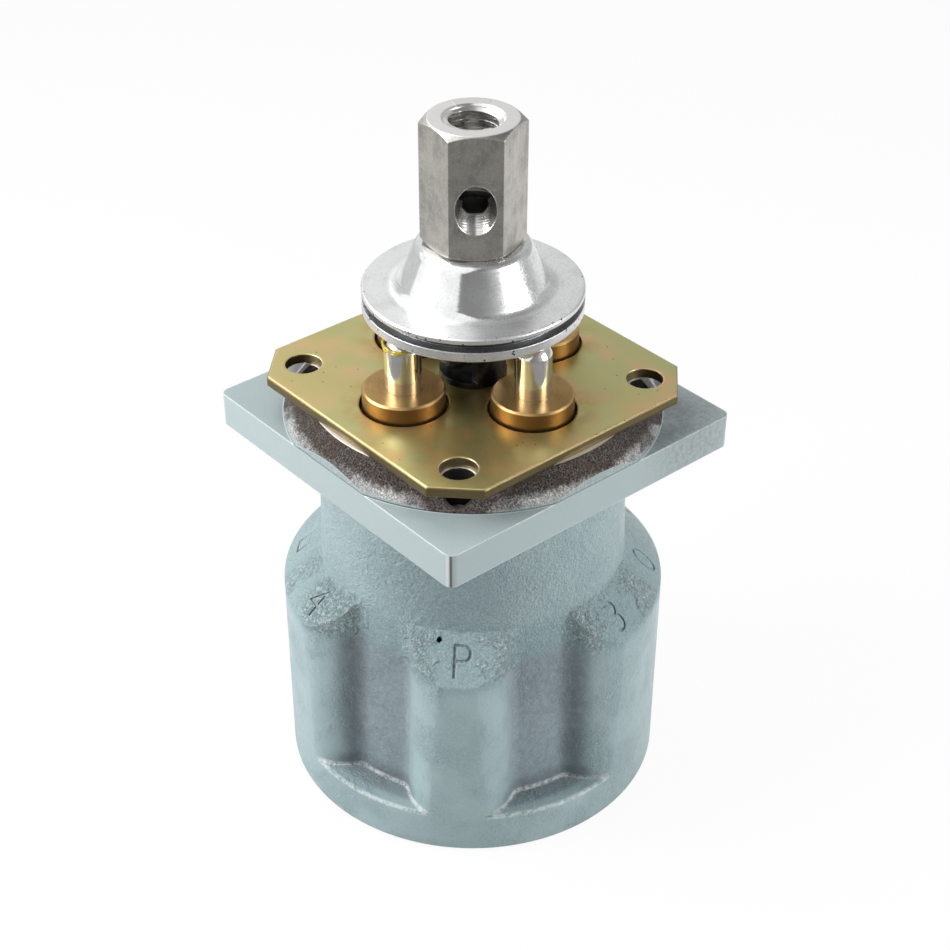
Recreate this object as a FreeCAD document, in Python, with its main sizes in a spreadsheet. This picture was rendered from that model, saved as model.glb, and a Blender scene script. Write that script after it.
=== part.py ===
import FreeCAD, Part
import math
import os
import re

import Sketcher
from FreeCAD import Placement, Rotation, Vector

# A hydraulic pilot control valve with a square mounting flange and a tilting lever socket.
# Millimetres, +Z up. The origin is the centre of the round base, which stands on z = 0.
# The four plungers stand on the X and Y axes, and the flange's sides run along X and Y.
# Port P faces the flange's corner at +X, -Y. Seen from above, the ports then follow each other
# every 60 degrees: P, 3, 1, T, 2, 4.

doc = FreeCAD.newDocument("PilotControlValve")
sheet = doc.addObject("Spreadsheet::Sheet", "Sizes")

# Driving dimensions, in millimetres and degrees.
SIZES = [
    # Cast casing: round base, six port bosses, neck, square flange and raised seat.
    ("base_radius", 50.0),
    ("base_edge", 1.2),
    ("ledge_height", 12.3),
    ("rim_height", 56.2),
    ("shoulder_rise", 9.6),
    ("pocket_depth", 8.5),
    ("neck_taper", 2.7),
    ("boss_radius", 14.0),
    ("boss_draft", 1.4),
    ("port_inset", 12.3),
    ("port_step", 60.0),
    ("port_line", -45.0),
    ("boss_root", 4.0),
    ("casting_round", 1.5),
    ("flange_bottom", 98.4),
    ("flange_thickness", 9.0),
    ("flange_margin", 15.45),
    ("flange_corner", 2.2),
    ("flange_root", 2.0),
    ("seat_height", 6.8),
    ("seat_overhang", 2.05),
    ("seat_run", 5.9),
    ("mount_pitch", 60.0),
    ("mount_thread_radius", 4.0),
    # Ports in the base: a threaded mouth and a pilot drilling above it.
    ("port_thread_radius", 8.33),
    ("port_thread_depth", 15.0),
    ("port_mouth_bevel", 0.8),
    ("pilot_radius", 6.5),
    ("outlet_top", 26.0),
    ("outlet_height", 6.0),
    ("outlet_radius", 13.5),
    ("pressure_gallery_top", 42.0),
    ("tank_gallery_top", 58.0),
    ("gallery_height", 6.0),
    ("gallery_inner", 16.0),
    ("pressure_gallery_outer", 31.5),
    ("tank_gallery_outer", 35.0),
    ("pressure_drill_radius", 8.0),
    ("tank_drill_radius", 5.0),
    # The four plunger stations round the lever.
    ("station_radius", 22.0),
    ("chamber_radius", 9.3),
    ("chamber_floor", 52.0),
    ("spool_bore_radius", 5.0),
    # Retaining plate over the guide bushes.
    ("plate_side", 81.0),
    ("plate_thickness", 2.5),
    ("plate_corner", 9.5),
    ("plate_edge", 0.3),
    ("plate_hole_radius", 4.6),
    ("window_gap", 0.75),
    # Guide bush, its O-ring and the rod seal in it.
    ("bush_head_radius", 10.15),
    ("bush_head_rise", 4.6),
    ("bush_head_edge", 0.5),
    ("bush_flange_radius", 12.0),
    ("bush_flange_thickness", 3.2),
    ("bush_body_radius", 9.95),
    ("bush_body_length", 17.0),
    ("bush_fit", 0.05),
    ("ring_groove_depth", 1.9),
    ("ring_groove_width", 2.6),
    ("ring_groove_drop", 6.0),
    ("ring_slack", 0.03),
    ("ring_flat", 0.45),
    ("ring_half_height", 1.05),
    ("seal_radius", 7.0),
    ("seal_height", 3.2),
    ("seal_drop", 2.2),
    ("rod_fit", 0.04),
    # Push rod, spring seat and springs.
    ("rod_radius", 4.5),
    ("rod_dome_radius", 4.8),
    ("rod_gap", 0.2),
    ("rod_collar_radius", 6.0),
    ("rod_collar_height", 7.6),
    ("collar_fit", 0.25),
    ("stop_gap", 0.2),
    ("bush_skirt_length", 11.5),
    ("seat_plate_radius", 8.9),
    ("seat_plate_thickness", 2.4),
    ("seat_skirt_radius", 5.2),
    ("seat_skirt_length", 7.5),
    ("seat_bore_radius", 3.9),
    ("seat_lip_radius", 3.2),
    ("seat_lip_height", 2.0),
    ("return_wire", 1.5),
    ("return_pitch", 7.4),
    ("return_coil_radius", 8.1),
    ("metering_wire", 1.1),
    ("metering_pitch", 4.9),
    ("metering_coil_radius", 6.3),
    ("spring_slack", 0.3),
    # Spool and the washer that the metering spring stands on.
    ("spool_fit", 0.03),
    ("spool_collar_radius", 6.8),
    ("spool_collar_height", 2.0),
    ("spool_collar_rise", 10.0),
    ("spool_stem_radius", 3.0),
    ("spool_head_radius", 3.6),
    ("spool_head_height", 2.0),
    ("spool_end_gap", 5.0),
    ("spool_waist_radius", 3.8),
    ("pressure_overlap", 0.8),
    ("tank_opening", 0.5),
    ("spool_bore_hole", 1.7),
    ("spool_cross_hole", 1.1),
    ("washer_thickness", 1.2),
    ("washer_radius", 7.0),
    ("washer_slack", 0.15),
    # Universal joint under the disc.
    ("joint_reach", 8.0),
    ("joint_collar", 1.5),
    ("fork_radius", 8.4),
    ("fork_half_gap", 4.9),
    ("ear_radius", 4.5),
    ("block_half_side", 4.6),
    ("block_bevel", 0.8),
    ("pin_radius", 2.5),
    ("pin_fit", 0.04),
    ("pin_start", 3.0),
    ("pin_end", 8.0),
    ("pin_dome", 0.4),
    ("base_stud_radius", 6.9),
    ("base_stud_length", 22.0),
    ("lever_stud_radius", 5.9),
    ("lever_stud_length", 26.5),
    ("stud_bevel", 1.0),
    ("thread_fit", 0.1),
    # Swash disc.
    ("disc_radius", 27.05),
    ("disc_lower_lip", 2.6),
    ("disc_groove", 2.2),
    ("disc_upper_lip", 1.3),
    ("disc_groove_depth", 2.6),
    ("disc_edge", 0.35),
    ("hub_base_radius", 18.8),
    ("hub_top_radius", 13.6),
    ("hub_height", 11.6),
    ("hub_root", 3.0),
    ("hub_crown", 2.4),
    # Hexagonal lever nut.
    ("nut_width", 22.0),
    ("nut_length", 31.4),
    ("nut_angle", -37.4),
    ("nut_bevel_radius", 10.7),
    ("nut_bevel_angle", 30.0),
    ("nut_lower_bore_depth", 10.0),
    ("lever_thread_radius", 7.0),
    ("lever_thread_bevel", 0.5),
    ("cable_hole_radius", 4.85),
    ("cable_hole_height", 13.0),
    ("cable_hole_slope", 39.0),
    ("cable_hole_offset", 0.02),
]

# Sizes that follow from the driving ones.
WORKED_OUT = [
    ("shoulder_top", "rim_height + shoulder_rise"),
    ("neck_low_radius", "base_radius - pocket_depth"),
    ("neck_top_radius", "neck_low_radius - neck_taper"),
    ("port_circle", "base_radius - port_inset"),
    ("flange_side", "mount_pitch + 2 * flange_margin"),
    ("seat_base_radius", "flange_side / 2 + seat_overhang"),
    ("seat_top_radius", "seat_base_radius - seat_run"),
    ("neck_draft", "(neck_low_radius - neck_top_radius) / (flange_bottom - ledge_height)"),
    ("neck_shoulder_radius", "neck_top_radius + neck_draft * (flange_bottom - shoulder_top)"),
    ("flange_top", "flange_bottom + flange_thickness"),
    ("seat_top", "flange_top + seat_height"),
    ("plate_top", "seat_top + plate_thickness"),
    ("bush_top", "plate_top + bush_head_rise"),
    ("bush_flange_bottom", "seat_top - bush_flange_thickness"),
    ("bush_bottom", "bush_flange_bottom - bush_body_length"),
    ("bush_bore_radius", "bush_body_radius + bush_fit"),
    ("bush_shoulder", "bush_bottom + bush_skirt_length"),
    ("rod_bore_radius", "rod_radius + rod_fit"),
    ("skirt_bore_radius", "rod_collar_radius + collar_fit"),
    ("ring_groove_radius", "bush_body_radius - ring_groove_depth"),
    ("ring_groove_top", "bush_flange_bottom - ring_groove_drop"),
    ("seal_top", "bush_top - seal_drop"),
    ("rod_collar_top", "bush_shoulder - stop_gap"),
    ("rod_bottom", "rod_collar_top - rod_collar_height"),
    ("seat_plate_top", "bush_bottom - stop_gap"),
    ("seat_plate_bottom", "seat_plate_top - seat_plate_thickness"),
    ("seat_skirt_bottom", "seat_plate_bottom - seat_skirt_length"),
    ("seat_lip_top", "seat_skirt_bottom + seat_lip_height"),
    ("spool_collar_top", "chamber_floor + spool_collar_rise + spool_collar_height"),
    ("washer_top", "spool_collar_top + washer_thickness"),
    ("spool_head_bottom", "seat_lip_top + stop_gap"),
    ("spool_bottom", "outlet_top - outlet_height + spool_end_gap"),
    ("spool_radius", "spool_bore_radius - spool_fit"),
    ("waist_bottom", "pressure_gallery_top + pressure_overlap"),
    ("waist_top", "chamber_floor + tank_opening"),
    ("waist_middle", "(waist_bottom + waist_top) / 2"),
    ("pivot_height", "plate_top + joint_collar + joint_reach"),
    ("disc_bottom", "pivot_height + joint_reach + joint_collar"),
    ("rod_top", "disc_bottom - rod_gap"),
    ("disc_top", "disc_bottom + disc_lower_lip + disc_groove + disc_upper_lip"),
    ("hub_top", "disc_top + hub_height"),
    ("nut_top", "hub_top + nut_length"),
]


def fill_sheet():
    """Writes the sizes as plain numbers and the worked-out ones as formulas, each with its name."""
    row = 1
    for name, value in SIZES:
        sheet.set(f"A{row}", name)
        sheet.set(f"B{row}", str(value))
        sheet.setAlias(f"B{row}", name)
        row += 1
    for name, formula in WORKED_OUT:
        sheet.set(f"A{row}", name)
        sheet.set(f"B{row}", "=" + formula)
        sheet.setAlias(f"B{row}", name)
        row += 1
    doc.recompute()


def size(name):
    """The sheet's value of one size."""
    return float(sheet.get(name))


def bound(text):
    """A formula in the sheet's names, with the sheet named in front of each."""
    return re.sub(r"\b([a-z][a-z_]+)\b(?!\()", r"Sizes.\1", text)


def new_body(label):
    """An empty body with its own label."""
    body = doc.addObject("PartDesign::Body", label)
    body.Label = label
    return body


def origin_part(body, role):
    """One of the body's own origin planes or axes."""
    for feature in body.Origin.OriginFeatures:
        if feature.Role == role:
            return feature
    raise ValueError(role)


def sketch_on(body, name, role, level=None, turn=0.0):
    """A sketch on one of the body's origin planes, raised to a level and turned about the plane's normal."""
    sketch = body.newObject("Sketcher::SketchObject", name)
    sketch.AttachmentSupport = [(origin_part(body, role), "")]
    sketch.MapMode = "FlatFace"
    sketch.AttachmentOffset = Placement(Vector(0, 0, 0), Rotation(Vector(0, 0, 1), turn))
    if level is not None:
        sketch.setExpression("AttachmentOffset.Base.z", bound(level))
    return sketch


def hold_point(sketch, geometry, point, across, up):
    """Ties one point of the sketch to two formulas, starting from where it is drawn."""
    drawn = sketch.getPoint(geometry, point)
    for kind, formula, start in (("DistanceX", across, drawn.x), ("DistanceY", up, drawn.y)):
        index = sketch.addConstraint(Sketcher.Constraint(kind, -1, 1, geometry, point, start))
        sketch.setExpression(f"Constraints[{index}]", bound(formula))


def outline(sketch, points):
    """A closed outline of straight lines, each corner given as two formulas."""
    count = len(points)
    first = len(sketch.Geometry)
    turn = 2 * math.pi / count
    corners = [Vector(math.cos(turn * i), math.sin(turn * i), 0) for i in range(count)]
    for i in range(count):
        sketch.addGeometry(Part.LineSegment(corners[i], corners[(i + 1) % count]), False)
    for i in range(count):
        following = first + (i + 1) % count
        sketch.addConstraint(Sketcher.Constraint("Coincident", first + i, 2, following, 1))
    for i, (across, up) in enumerate(points):
        hold_point(sketch, first + i, 1, across, up)
    return sketch


def circle(sketch, across, up, radius):
    """A circle whose centre and radius are formulas."""
    index = sketch.addGeometry(Part.Circle(Vector(1, 1, 0), Vector(0, 0, 1), 1.0), False)
    hold_point(sketch, index, 3, across, up)
    held = sketch.addConstraint(Sketcher.Constraint("Radius", index, 1.0))
    sketch.setExpression(f"Constraints[{held}]", bound(radius))
    return sketch


def axis_line(sketch, across):
    """An upright construction line in the sketch, to turn a profile about."""
    index = sketch.addGeometry(Part.LineSegment(Vector(1, 0, 0), Vector(1, 10, 0)), True)
    hold_point(sketch, index, 1, across, "0")
    hold_point(sketch, index, 2, across, "10")


def turned(body, name, sketch, axis="V_Axis"):
    """Adds the sketch turned a full circle."""
    feature = body.newObject("PartDesign::Revolution", name)
    feature.Profile = sketch
    feature.ReferenceAxis = (sketch, [axis])
    feature.Angle = 360
    doc.recompute()
    return feature


def turned_away(body, name, sketch, axis="V_Axis"):
    """Cuts away the sketch turned a full circle."""
    before = body.Tip.Shape.Volume
    feature = body.newObject("PartDesign::Groove", name)
    feature.Profile = sketch
    feature.ReferenceAxis = (sketch, [axis])
    feature.Angle = 360
    doc.recompute()
    must_cut(before, feature)
    return feature


def padded(body, name, sketch, length, both_ways=False):
    """Adds the sketch drawn out by a length, upwards or to both sides."""
    feature = body.newObject("PartDesign::Pad", name)
    feature.Profile = sketch
    feature.setExpression("Length", bound(length))
    feature.Midplane = both_ways
    doc.recompute()
    return feature


def pocketed(body, name, sketch, length, both_ways=False, upwards=False):
    """Cuts away the sketch drawn out by a length, against the plane's normal unless it goes upwards."""
    before = body.Tip.Shape.Volume
    feature = body.newObject("PartDesign::Pocket", name)
    feature.Profile = sketch
    feature.setExpression("Length", bound(length))
    feature.Midplane = both_ways
    feature.Reversed = upwards
    doc.recompute()
    must_cut(before, feature)
    return feature


def must_cut(before, feature):
    """Stops when a cut has taken nothing away."""
    if feature.Shape.isNull() or feature.Shape.Volume > before - 1e-3:
        raise RuntimeError(f"{feature.Label} cuts nothing")


def round_the_axis(body, name, feature, count, angle=360.0):
    """Repeats a feature evenly about the body's upright axis."""
    pattern = body.newObject("PartDesign::PolarPattern", name)
    pattern.Originals = [feature]
    pattern.Axis = (origin_part(body, "Z_Axis"), [""])
    pattern.Angle = angle
    pattern.Occurrences = count
    body.Tip = pattern
    doc.recompute()
    return pattern


def edges_where(shape, test):
    """Names of the shape's edges whose middle point and edge pass a test."""
    names = []
    for number, edge in enumerate(shape.Edges, start=1):
        middle = edge.valueAt((edge.FirstParameter + edge.LastParameter) / 2)
        if test(middle, edge):
            names.append(f"Edge{number}")
    return names


def rounded(body, name, radius, test):
    """Rounds the edges that pass a test."""
    base = body.Tip
    names = edges_where(base.Shape, test)
    feature = body.newObject("PartDesign::Fillet", name)
    feature.Base = (base, names)
    feature.setExpression("Radius", bound(radius))
    doc.recompute()
    return feature


def bevelled(body, name, width, test):
    """Bevels the edges that pass a test."""
    base = body.Tip
    names = edges_where(base.Shape, test)
    feature = body.newObject("PartDesign::Chamfer", name)
    feature.Base = (base, names)
    feature.setExpression("Size", bound(width))
    doc.recompute()
    return feature


def near(value, target, slack=0.02):
    """True where two lengths are the same to within a small slack."""
    return abs(value - target) < slack


def from_axis(point):
    """Distance of a point from the upright axis."""
    return math.hypot(point.x, point.y)


def level_ring(height, radius, slack=0.02):
    """A test for whole level edges at one height and radius from the body's own axis."""

    def test(middle, edge):
        return near(middle.z, height, slack) and near(from_axis(middle), radius, slack)

    return test


def place_at_station(body, station):
    """Stands a body on its station round the lever."""
    angle = STATION_ANGLES[station]
    body.setExpression("Placement.Base.x", bound(f"station_radius * cos({angle})"))
    body.setExpression("Placement.Base.y", bound(f"station_radius * sin({angle})"))


# Each plunger station carries the number of the port that it feeds.
STATION_ANGLES = {1: 90, 2: 180, 3: 0, 4: 270}

fill_sheet()


def make_casing():
    """Cast casing: six round port bosses on a tapering neck, joined in threes at the sides."""
    body = new_body("valve_casing")
    core = sketch_on(body, "CasingCore", "XZ_Plane")
    outline(
        core,
        [
            ("0", "0"),
            ("base_radius - base_edge", "0"),
            ("base_radius", "base_edge"),
            ("base_radius", "ledge_height"),
            ("neck_low_radius", "ledge_height"),
            ("neck_top_radius", "flange_bottom"),
            ("0", "flange_bottom"),
        ],
    )
    turned(body, "CasingNeck", core)

    # Port bosses stand on the base ring, one at each port.
    line = size("port_line")
    boss = sketch_on(body, "BossCircle", "XY_Plane", "base_edge + 2", line)
    circle(boss, "port_circle", "0", "boss_radius")
    boss_pad = padded(body, "PortBoss", boss, "shoulder_top - base_edge - 2")
    boss_pad.setExpression("TaperAngle", bound("-boss_draft"))
    round_the_axis(body, "PortBosses", boss_pad, 6)

    # A solid web at full radius joins the two bosses of each side.
    for name, side in (("WebRight", 1), ("WebLeft", -1)):
        web = sketch_on(body, name, "XY_Plane", "base_edge + 2", line + side * 90)
        outline(
            web,
            [
                ("0", "0"),
                ("2 * base_radius * cos(port_step / 2)", "-2 * base_radius * sin(port_step / 2)"),
                ("2 * base_radius * cos(port_step / 2)", "2 * base_radius * sin(port_step / 2)"),
            ],
        )
        padded(body, name + "Pad", web, "shoulder_top - base_edge - 2")

    # Casting radii where the bosses and webs meet the neck.
    ledge = size("ledge_height")
    shoulder_top = size("shoulder_top")
    rim = size("rim_height")
    base_radius = size("base_radius")

    def boss_foot(middle, edge):
        rises = abs(edge.Vertexes[0].Z - edge.Vertexes[-1].Z) > (rim - ledge) / 2
        return rises and middle.z < shoulder_top and from_axis(middle) < size("neck_low_radius") + 0.5

    rounded(body, "BossRoots", "boss_root", boss_foot)

    # The outside is brought to one radius, and the shoulder slopes up to the neck.
    shoulder = sketch_on(body, "Shoulder", "XZ_Plane")
    outline(
        shoulder,
        [
            ("base_radius", "base_edge"),
            ("base_radius", "rim_height"),
            ("neck_shoulder_radius", "shoulder_top"),
            ("neck_shoulder_radius", "shoulder_top + 1"),
            ("3 * base_radius", "shoulder_top + 1"),
            ("3 * base_radius", "base_edge"),
        ],
    )
    turned_away(body, "ShoulderSlope", shoulder)

    def shoulder_edge(middle, edge):
        flat = abs(edge.Vertexes[0].Z - edge.Vertexes[-1].Z) < 0.1
        return flat and near(middle.z, rim, 0.1) and near(from_axis(middle), base_radius, 0.1)

    rounded(body, "ShoulderEdge", "casting_round", shoulder_edge)

    # Square flange and the raised conical seat, which the flange's sides trim.
    flange = sketch_on(body, "FlangeSquare", "XY_Plane", "flange_bottom")
    half = "flange_side / 2"
    outline(flange, [(half, half), (f"-{half}", half), (f"-{half}", f"-{half}"), (half, f"-{half}")])
    padded(body, "Flange", flange, "flange_thickness")
    half_side = size("flange_side") / 2

    def flange_post(middle, edge):
        return near(abs(middle.x), half_side) and near(abs(middle.y), half_side)

    rounded(body, "FlangeCorners", "flange_corner", flange_post)
    neck_top = size("neck_top_radius")
    rounded(body, "FlangeRoot", "flange_root", level_ring(size("flange_bottom"), neck_top))
    seat = sketch_on(body, "SeatProfile", "XZ_Plane")
    outline(
        seat,
        [
            ("0", "flange_bottom + 1"),
            ("seat_base_radius", "flange_bottom + 1"),
            ("seat_base_radius", "flange_top"),
            ("seat_top_radius", "seat_top"),
            ("0", "seat_top"),
        ],
    )
    turned(body, "Seat", seat)
    trim = sketch_on(body, "SeatTrim", "XY_Plane", "flange_bottom")
    outline(trim, [(half, half), (f"-{half}", half), (f"-{half}", f"-{half}"), (half, f"-{half}")])
    circle(trim, "0", "0", "2 * flange_side")
    pocketed(body, "SeatSides", trim, "seat_height + flange_thickness", upwards=True)

    # Stepped bore of a plunger station: outlet, spool bore, spring chamber, bush bore, counterbore.
    bore = sketch_on(body, "StationBore", "XZ_Plane")
    axis_line(bore, "station_radius")
    outline(
        bore,
        [
            ("station_radius", "outlet_top - outlet_height"),
            ("station_radius + outlet_radius", "outlet_top - outlet_height"),
            ("station_radius + outlet_radius", "outlet_top"),
            ("station_radius + spool_bore_radius", "outlet_top"),
            ("station_radius + spool_bore_radius", "chamber_floor"),
            ("station_radius + chamber_radius", "chamber_floor"),
            ("station_radius + chamber_radius", "bush_bottom"),
            ("station_radius + bush_bore_radius", "bush_bottom"),
            ("station_radius + bush_bore_radius", "bush_flange_bottom"),
            ("station_radius + bush_flange_radius + bush_fit", "bush_flange_bottom"),
            ("station_radius + bush_flange_radius + bush_fit", "seat_top + 1"),
            ("station_radius", "seat_top + 1"),
        ],
    )
    station = turned_away(body, "Station", bore, "Axis0")
    round_the_axis(body, "Stations", station, len(STATION_ANGLES))

    # Ring galleries: pressure round the spools, tank round the spring chambers.
    for name in ("pressure_gallery", "tank_gallery"):
        gallery = sketch_on(body, name, "XZ_Plane")
        outline(
            gallery,
            [
                ("gallery_inner", f"{name}_top - gallery_height"),
                (f"{name}_outer", f"{name}_top - gallery_height"),
                (f"{name}_outer", f"{name}_top"),
                ("gallery_inner", f"{name}_top"),
            ],
        )
        turned_away(body, name + "_ring", gallery)

    # Ports: a bevelled threaded mouth, and a pilot drilling up to what it serves.
    mouth = sketch_on(body, "PortMouth", "XZ_Plane")
    axis_line(mouth, "port_circle")
    thread = "port_circle + port_thread_radius"
    outline(
        mouth,
        [
            ("port_circle", "0"),
            (f"{thread} + port_mouth_bevel", "0"),
            (thread, "port_mouth_bevel"),
            (thread, "port_thread_depth"),
            ("port_circle + pilot_radius", "port_thread_depth"),
            ("port_circle + pilot_radius", "outlet_top"),
            ("port_circle", "outlet_top"),
        ],
    )
    mouth.AttachmentOffset = Placement(Vector(0, 0, 0), Rotation(Vector(0, 1, 0), line))
    port = turned_away(body, "Port", mouth, "Axis0")
    round_the_axis(body, "Ports", port, 6)
    for name, turn in (("pressure", 0), ("tank", 180)):
        drill = sketch_on(body, name + "_drill", "XY_Plane", f"{name}_gallery_top", line + turn)
        circle(drill, "port_circle", "0", f"{name}_drill_radius")
        pocketed(body, name + "_drilling", drill, f"{name}_gallery_top - port_thread_depth")

    # Tapped hole for the lever joint's stud, and four for the mounting screws.
    stud = sketch_on(body, "StudCircle", "XY_Plane", "seat_top")
    circle(stud, "0", "0", "base_stud_radius + thread_fit")
    pocketed(body, "StudHole", stud, "base_stud_length + 2")
    screw = sketch_on(body, "ScrewCircle", "XY_Plane", "seat_top")
    circle(screw, "mount_pitch / 2", "mount_pitch / 2", "mount_thread_radius")
    hole = pocketed(body, "ScrewHole", screw, "seat_height + flange_thickness + flange_root")
    round_the_axis(body, "ScrewHoles", hole, 4)
    return body


def make_plate():
    """Pressed steel plate that holds the guide bushes down on the casing's seat."""
    body = new_body("retaining_plate")
    square = sketch_on(body, "PlateOutline", "XY_Plane", "seat_top")
    half = "plate_side / 2"
    cut = f"({half} - plate_corner)"
    outline(
        square,
        [
            (half, cut),
            (cut, half),
            (f"-{cut}", half),
            (f"-{half}", cut),
            (f"-{half}", f"-{cut}"),
            (f"-{cut}", f"-{half}"),
            (cut, f"-{half}"),
            (half, f"-{cut}"),
        ],
    )
    padded(body, "Plate", square, "plate_thickness")
    top = size("plate_top")

    def top_edge(middle, edge):
        return near(middle.z, top)

    bevelled(body, "PlateEdge", "plate_edge", top_edge)
    centre = sketch_on(body, "CentreCircle", "XY_Plane", "plate_top")
    circle(centre, "0", "0", "base_stud_radius + 2 * thread_fit")
    pocketed(body, "CentreHole", centre, "plate_thickness")
    window = sketch_on(body, "WindowCircle", "XY_Plane", "plate_top")
    circle(window, "station_radius", "0", "bush_head_radius + window_gap")
    round_the_axis(body, "Windows", pocketed(body, "Window", window, "plate_thickness"), len(STATION_ANGLES))
    corner = sketch_on(body, "CornerCircle", "XY_Plane", "plate_top")
    circle(corner, "mount_pitch / 2", "mount_pitch / 2", "plate_hole_radius")
    round_the_axis(body, "CornerHoles", pocketed(body, "CornerHole", corner, "plate_thickness"), 4)
    return body


def make_turned_part(label, points, station=None):
    """A turned piece from its half section, on the upright axis or at a station."""
    body = new_body(label)
    profile = sketch_on(body, label + "_profile", "XZ_Plane")
    outline(profile, points)
    turned(body, label + "_turned", profile)
    if station is not None:
        place_at_station(body, station)
    return body


def make_bush(station):
    """Bronze guide bush: head through the plate, flange under it, ring groove and seal groove."""
    seal_low = "seal_top - seal_height"
    groove_low = "ring_groove_top - ring_groove_width"
    return make_turned_part(
        f"guide_bush_{station}",
        [
            ("rod_bore_radius", "bush_shoulder"),
            ("skirt_bore_radius", "bush_shoulder"),
            ("skirt_bore_radius", "bush_bottom"),
            ("bush_body_radius", "bush_bottom"),
            ("bush_body_radius", groove_low),
            ("ring_groove_radius", groove_low),
            ("ring_groove_radius", "ring_groove_top"),
            ("bush_body_radius", "ring_groove_top"),
            ("bush_body_radius", "bush_flange_bottom"),
            ("bush_flange_radius", "bush_flange_bottom"),
            ("bush_flange_radius", "seat_top"),
            ("bush_head_radius", "seat_top"),
            ("bush_head_radius", "bush_top - bush_head_edge"),
            ("bush_head_radius - bush_head_edge", "bush_top"),
            ("rod_bore_radius", "bush_top"),
            ("rod_bore_radius", "seal_top"),
            ("seal_radius", "seal_top"),
            ("seal_radius", seal_low),
            ("rod_bore_radius", seal_low),
        ],
        station,
    )


def make_o_ring(station):
    """Rubber ring between the bush and the casing, squashed flat where it meets their walls."""
    inner = "(ring_groove_radius + ring_slack)"
    outer = "(bush_bore_radius - ring_slack)"
    middle = "(ring_groove_top - ring_groove_width / 2)"
    return make_turned_part(
        f"bush_o_ring_{station}",
        [
            (inner, f"{middle} - ring_flat"),
            (f"{inner} + ring_flat", f"{middle} - ring_half_height"),
            (f"{outer} - ring_flat", f"{middle} - ring_half_height"),
            (outer, f"{middle} - ring_flat"),
            (outer, f"{middle} + ring_flat"),
            (f"{outer} - ring_flat", f"{middle} + ring_half_height"),
            (f"{inner} + ring_flat", f"{middle} + ring_half_height"),
            (inner, f"{middle} + ring_flat"),
        ],
        station,
    )


def make_rod_seal(station):
    """Lip seal that wipes the push rod inside the bush's head."""
    top = "(seal_top - ring_slack)"
    bottom = "(seal_top - seal_height + ring_slack)"
    return make_turned_part(
        f"rod_seal_{station}",
        [
            ("rod_bore_radius", bottom),
            ("seal_radius - ring_slack", bottom),
            ("seal_radius - ring_slack", top),
            ("(seal_radius + rod_bore_radius) / 2 + 0.4", top),
            ("(seal_radius + rod_bore_radius) / 2", "seal_top - seal_height / 2"),
            ("(seal_radius + rod_bore_radius) / 2 - 0.4", top),
            ("rod_bore_radius", top),
        ],
        station,
    )


def make_push_rod(station):
    """Hardened push rod: domed top against the disc, collar that stops under the bush."""
    body = new_body(f"push_rod_{station}")
    profile = sketch_on(body, f"push_rod_{station}_profile", "XZ_Plane")
    dome_drop = "(rod_dome_radius - sqrt(rod_dome_radius^2 - rod_radius^2))"
    outline(
        profile,
        [
            ("0", "rod_bottom"),
            ("rod_collar_radius", "rod_bottom"),
            ("rod_collar_radius", "rod_collar_top"),
            ("rod_radius", "rod_collar_top"),
            ("rod_radius", "rod_top"),
            ("0", "rod_top"),
        ],
    )
    turned(body, f"push_rod_{station}_turned", profile)
    dome = sketch_on(body, f"push_rod_{station}_dome", "XZ_Plane")
    add_dome_outline(dome, dome_drop)
    turned_away(body, f"push_rod_{station}_domed", dome)
    place_at_station(body, station)
    return body


def add_dome_outline(sketch, drop):
    """Outline between a flat-ended rod and its dome: an arc from the tip to the side, then the corner."""
    reach = size("rod_radius")
    dome = size("rod_dome_radius")
    tip = size("rod_top")
    start = math.asin(reach / dome)
    centre = Vector(0, tip - dome, 0)
    arc = Part.ArcOfCircle(
        Part.Circle(centre, Vector(0, 0, 1), dome),
        math.pi / 2 - start,
        math.pi / 2,
    )
    side = Vector(reach, tip - dome + dome * math.cos(start), 0)
    sketch.addGeometry(arc, False)
    sketch.addGeometry(Part.LineSegment(Vector(0, tip, 0), Vector(0, tip + 1, 0)), False)
    sketch.addGeometry(Part.LineSegment(Vector(0, tip + 1, 0), Vector(reach + 1, tip + 1, 0)), False)
    sketch.addGeometry(Part.LineSegment(Vector(reach + 1, tip + 1, 0), Vector(reach + 1, side.y, 0)), False)
    sketch.addGeometry(Part.LineSegment(Vector(reach + 1, side.y, 0), side), False)
    for first, end, second, start_point in ((0, 2, 1, 1), (1, 2, 2, 1), (2, 2, 3, 1), (3, 2, 4, 1), (4, 2, 0, 1)):
        sketch.addConstraint(Sketcher.Constraint("Coincident", first, end, second, start_point))
    hold_point(sketch, 0, 3, "0", "rod_top - rod_dome_radius")
    hold_point(sketch, 1, 1, "0", "rod_top")
    hold_point(sketch, 1, 2, "0", "rod_top + 1")
    hold_point(sketch, 2, 2, "rod_radius + 1", "rod_top + 1")
    hold_point(sketch, 3, 2, "rod_radius + 1", f"rod_top - {drop}")
    held = sketch.addConstraint(Sketcher.Constraint("DistanceX", -1, 1, 4, 2, reach))
    sketch.setExpression(f"Constraints[{held}]", bound("rod_radius"))


def make_spring_seat(station):
    """Steel seat under the push rod: it presses both springs and hangs the spool by its head."""
    return make_turned_part(
        f"spring_seat_{station}",
        [
            ("0", "rod_bottom"),
            ("0", "rod_bottom - 2"),
            ("seat_bore_radius", "rod_bottom - 2"),
            ("seat_bore_radius", "seat_lip_top"),
            ("seat_lip_radius", "seat_lip_top"),
            ("seat_lip_radius", "seat_skirt_bottom"),
            ("seat_skirt_radius", "seat_skirt_bottom"),
            ("seat_skirt_radius", "seat_plate_bottom"),
            ("seat_plate_radius", "seat_plate_bottom"),
            ("seat_plate_radius", "seat_plate_top"),
            ("rod_collar_radius - 0.4", "seat_plate_top"),
            ("rod_collar_radius - 0.4", "rod_bottom"),
        ],
        station,
    )


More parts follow.
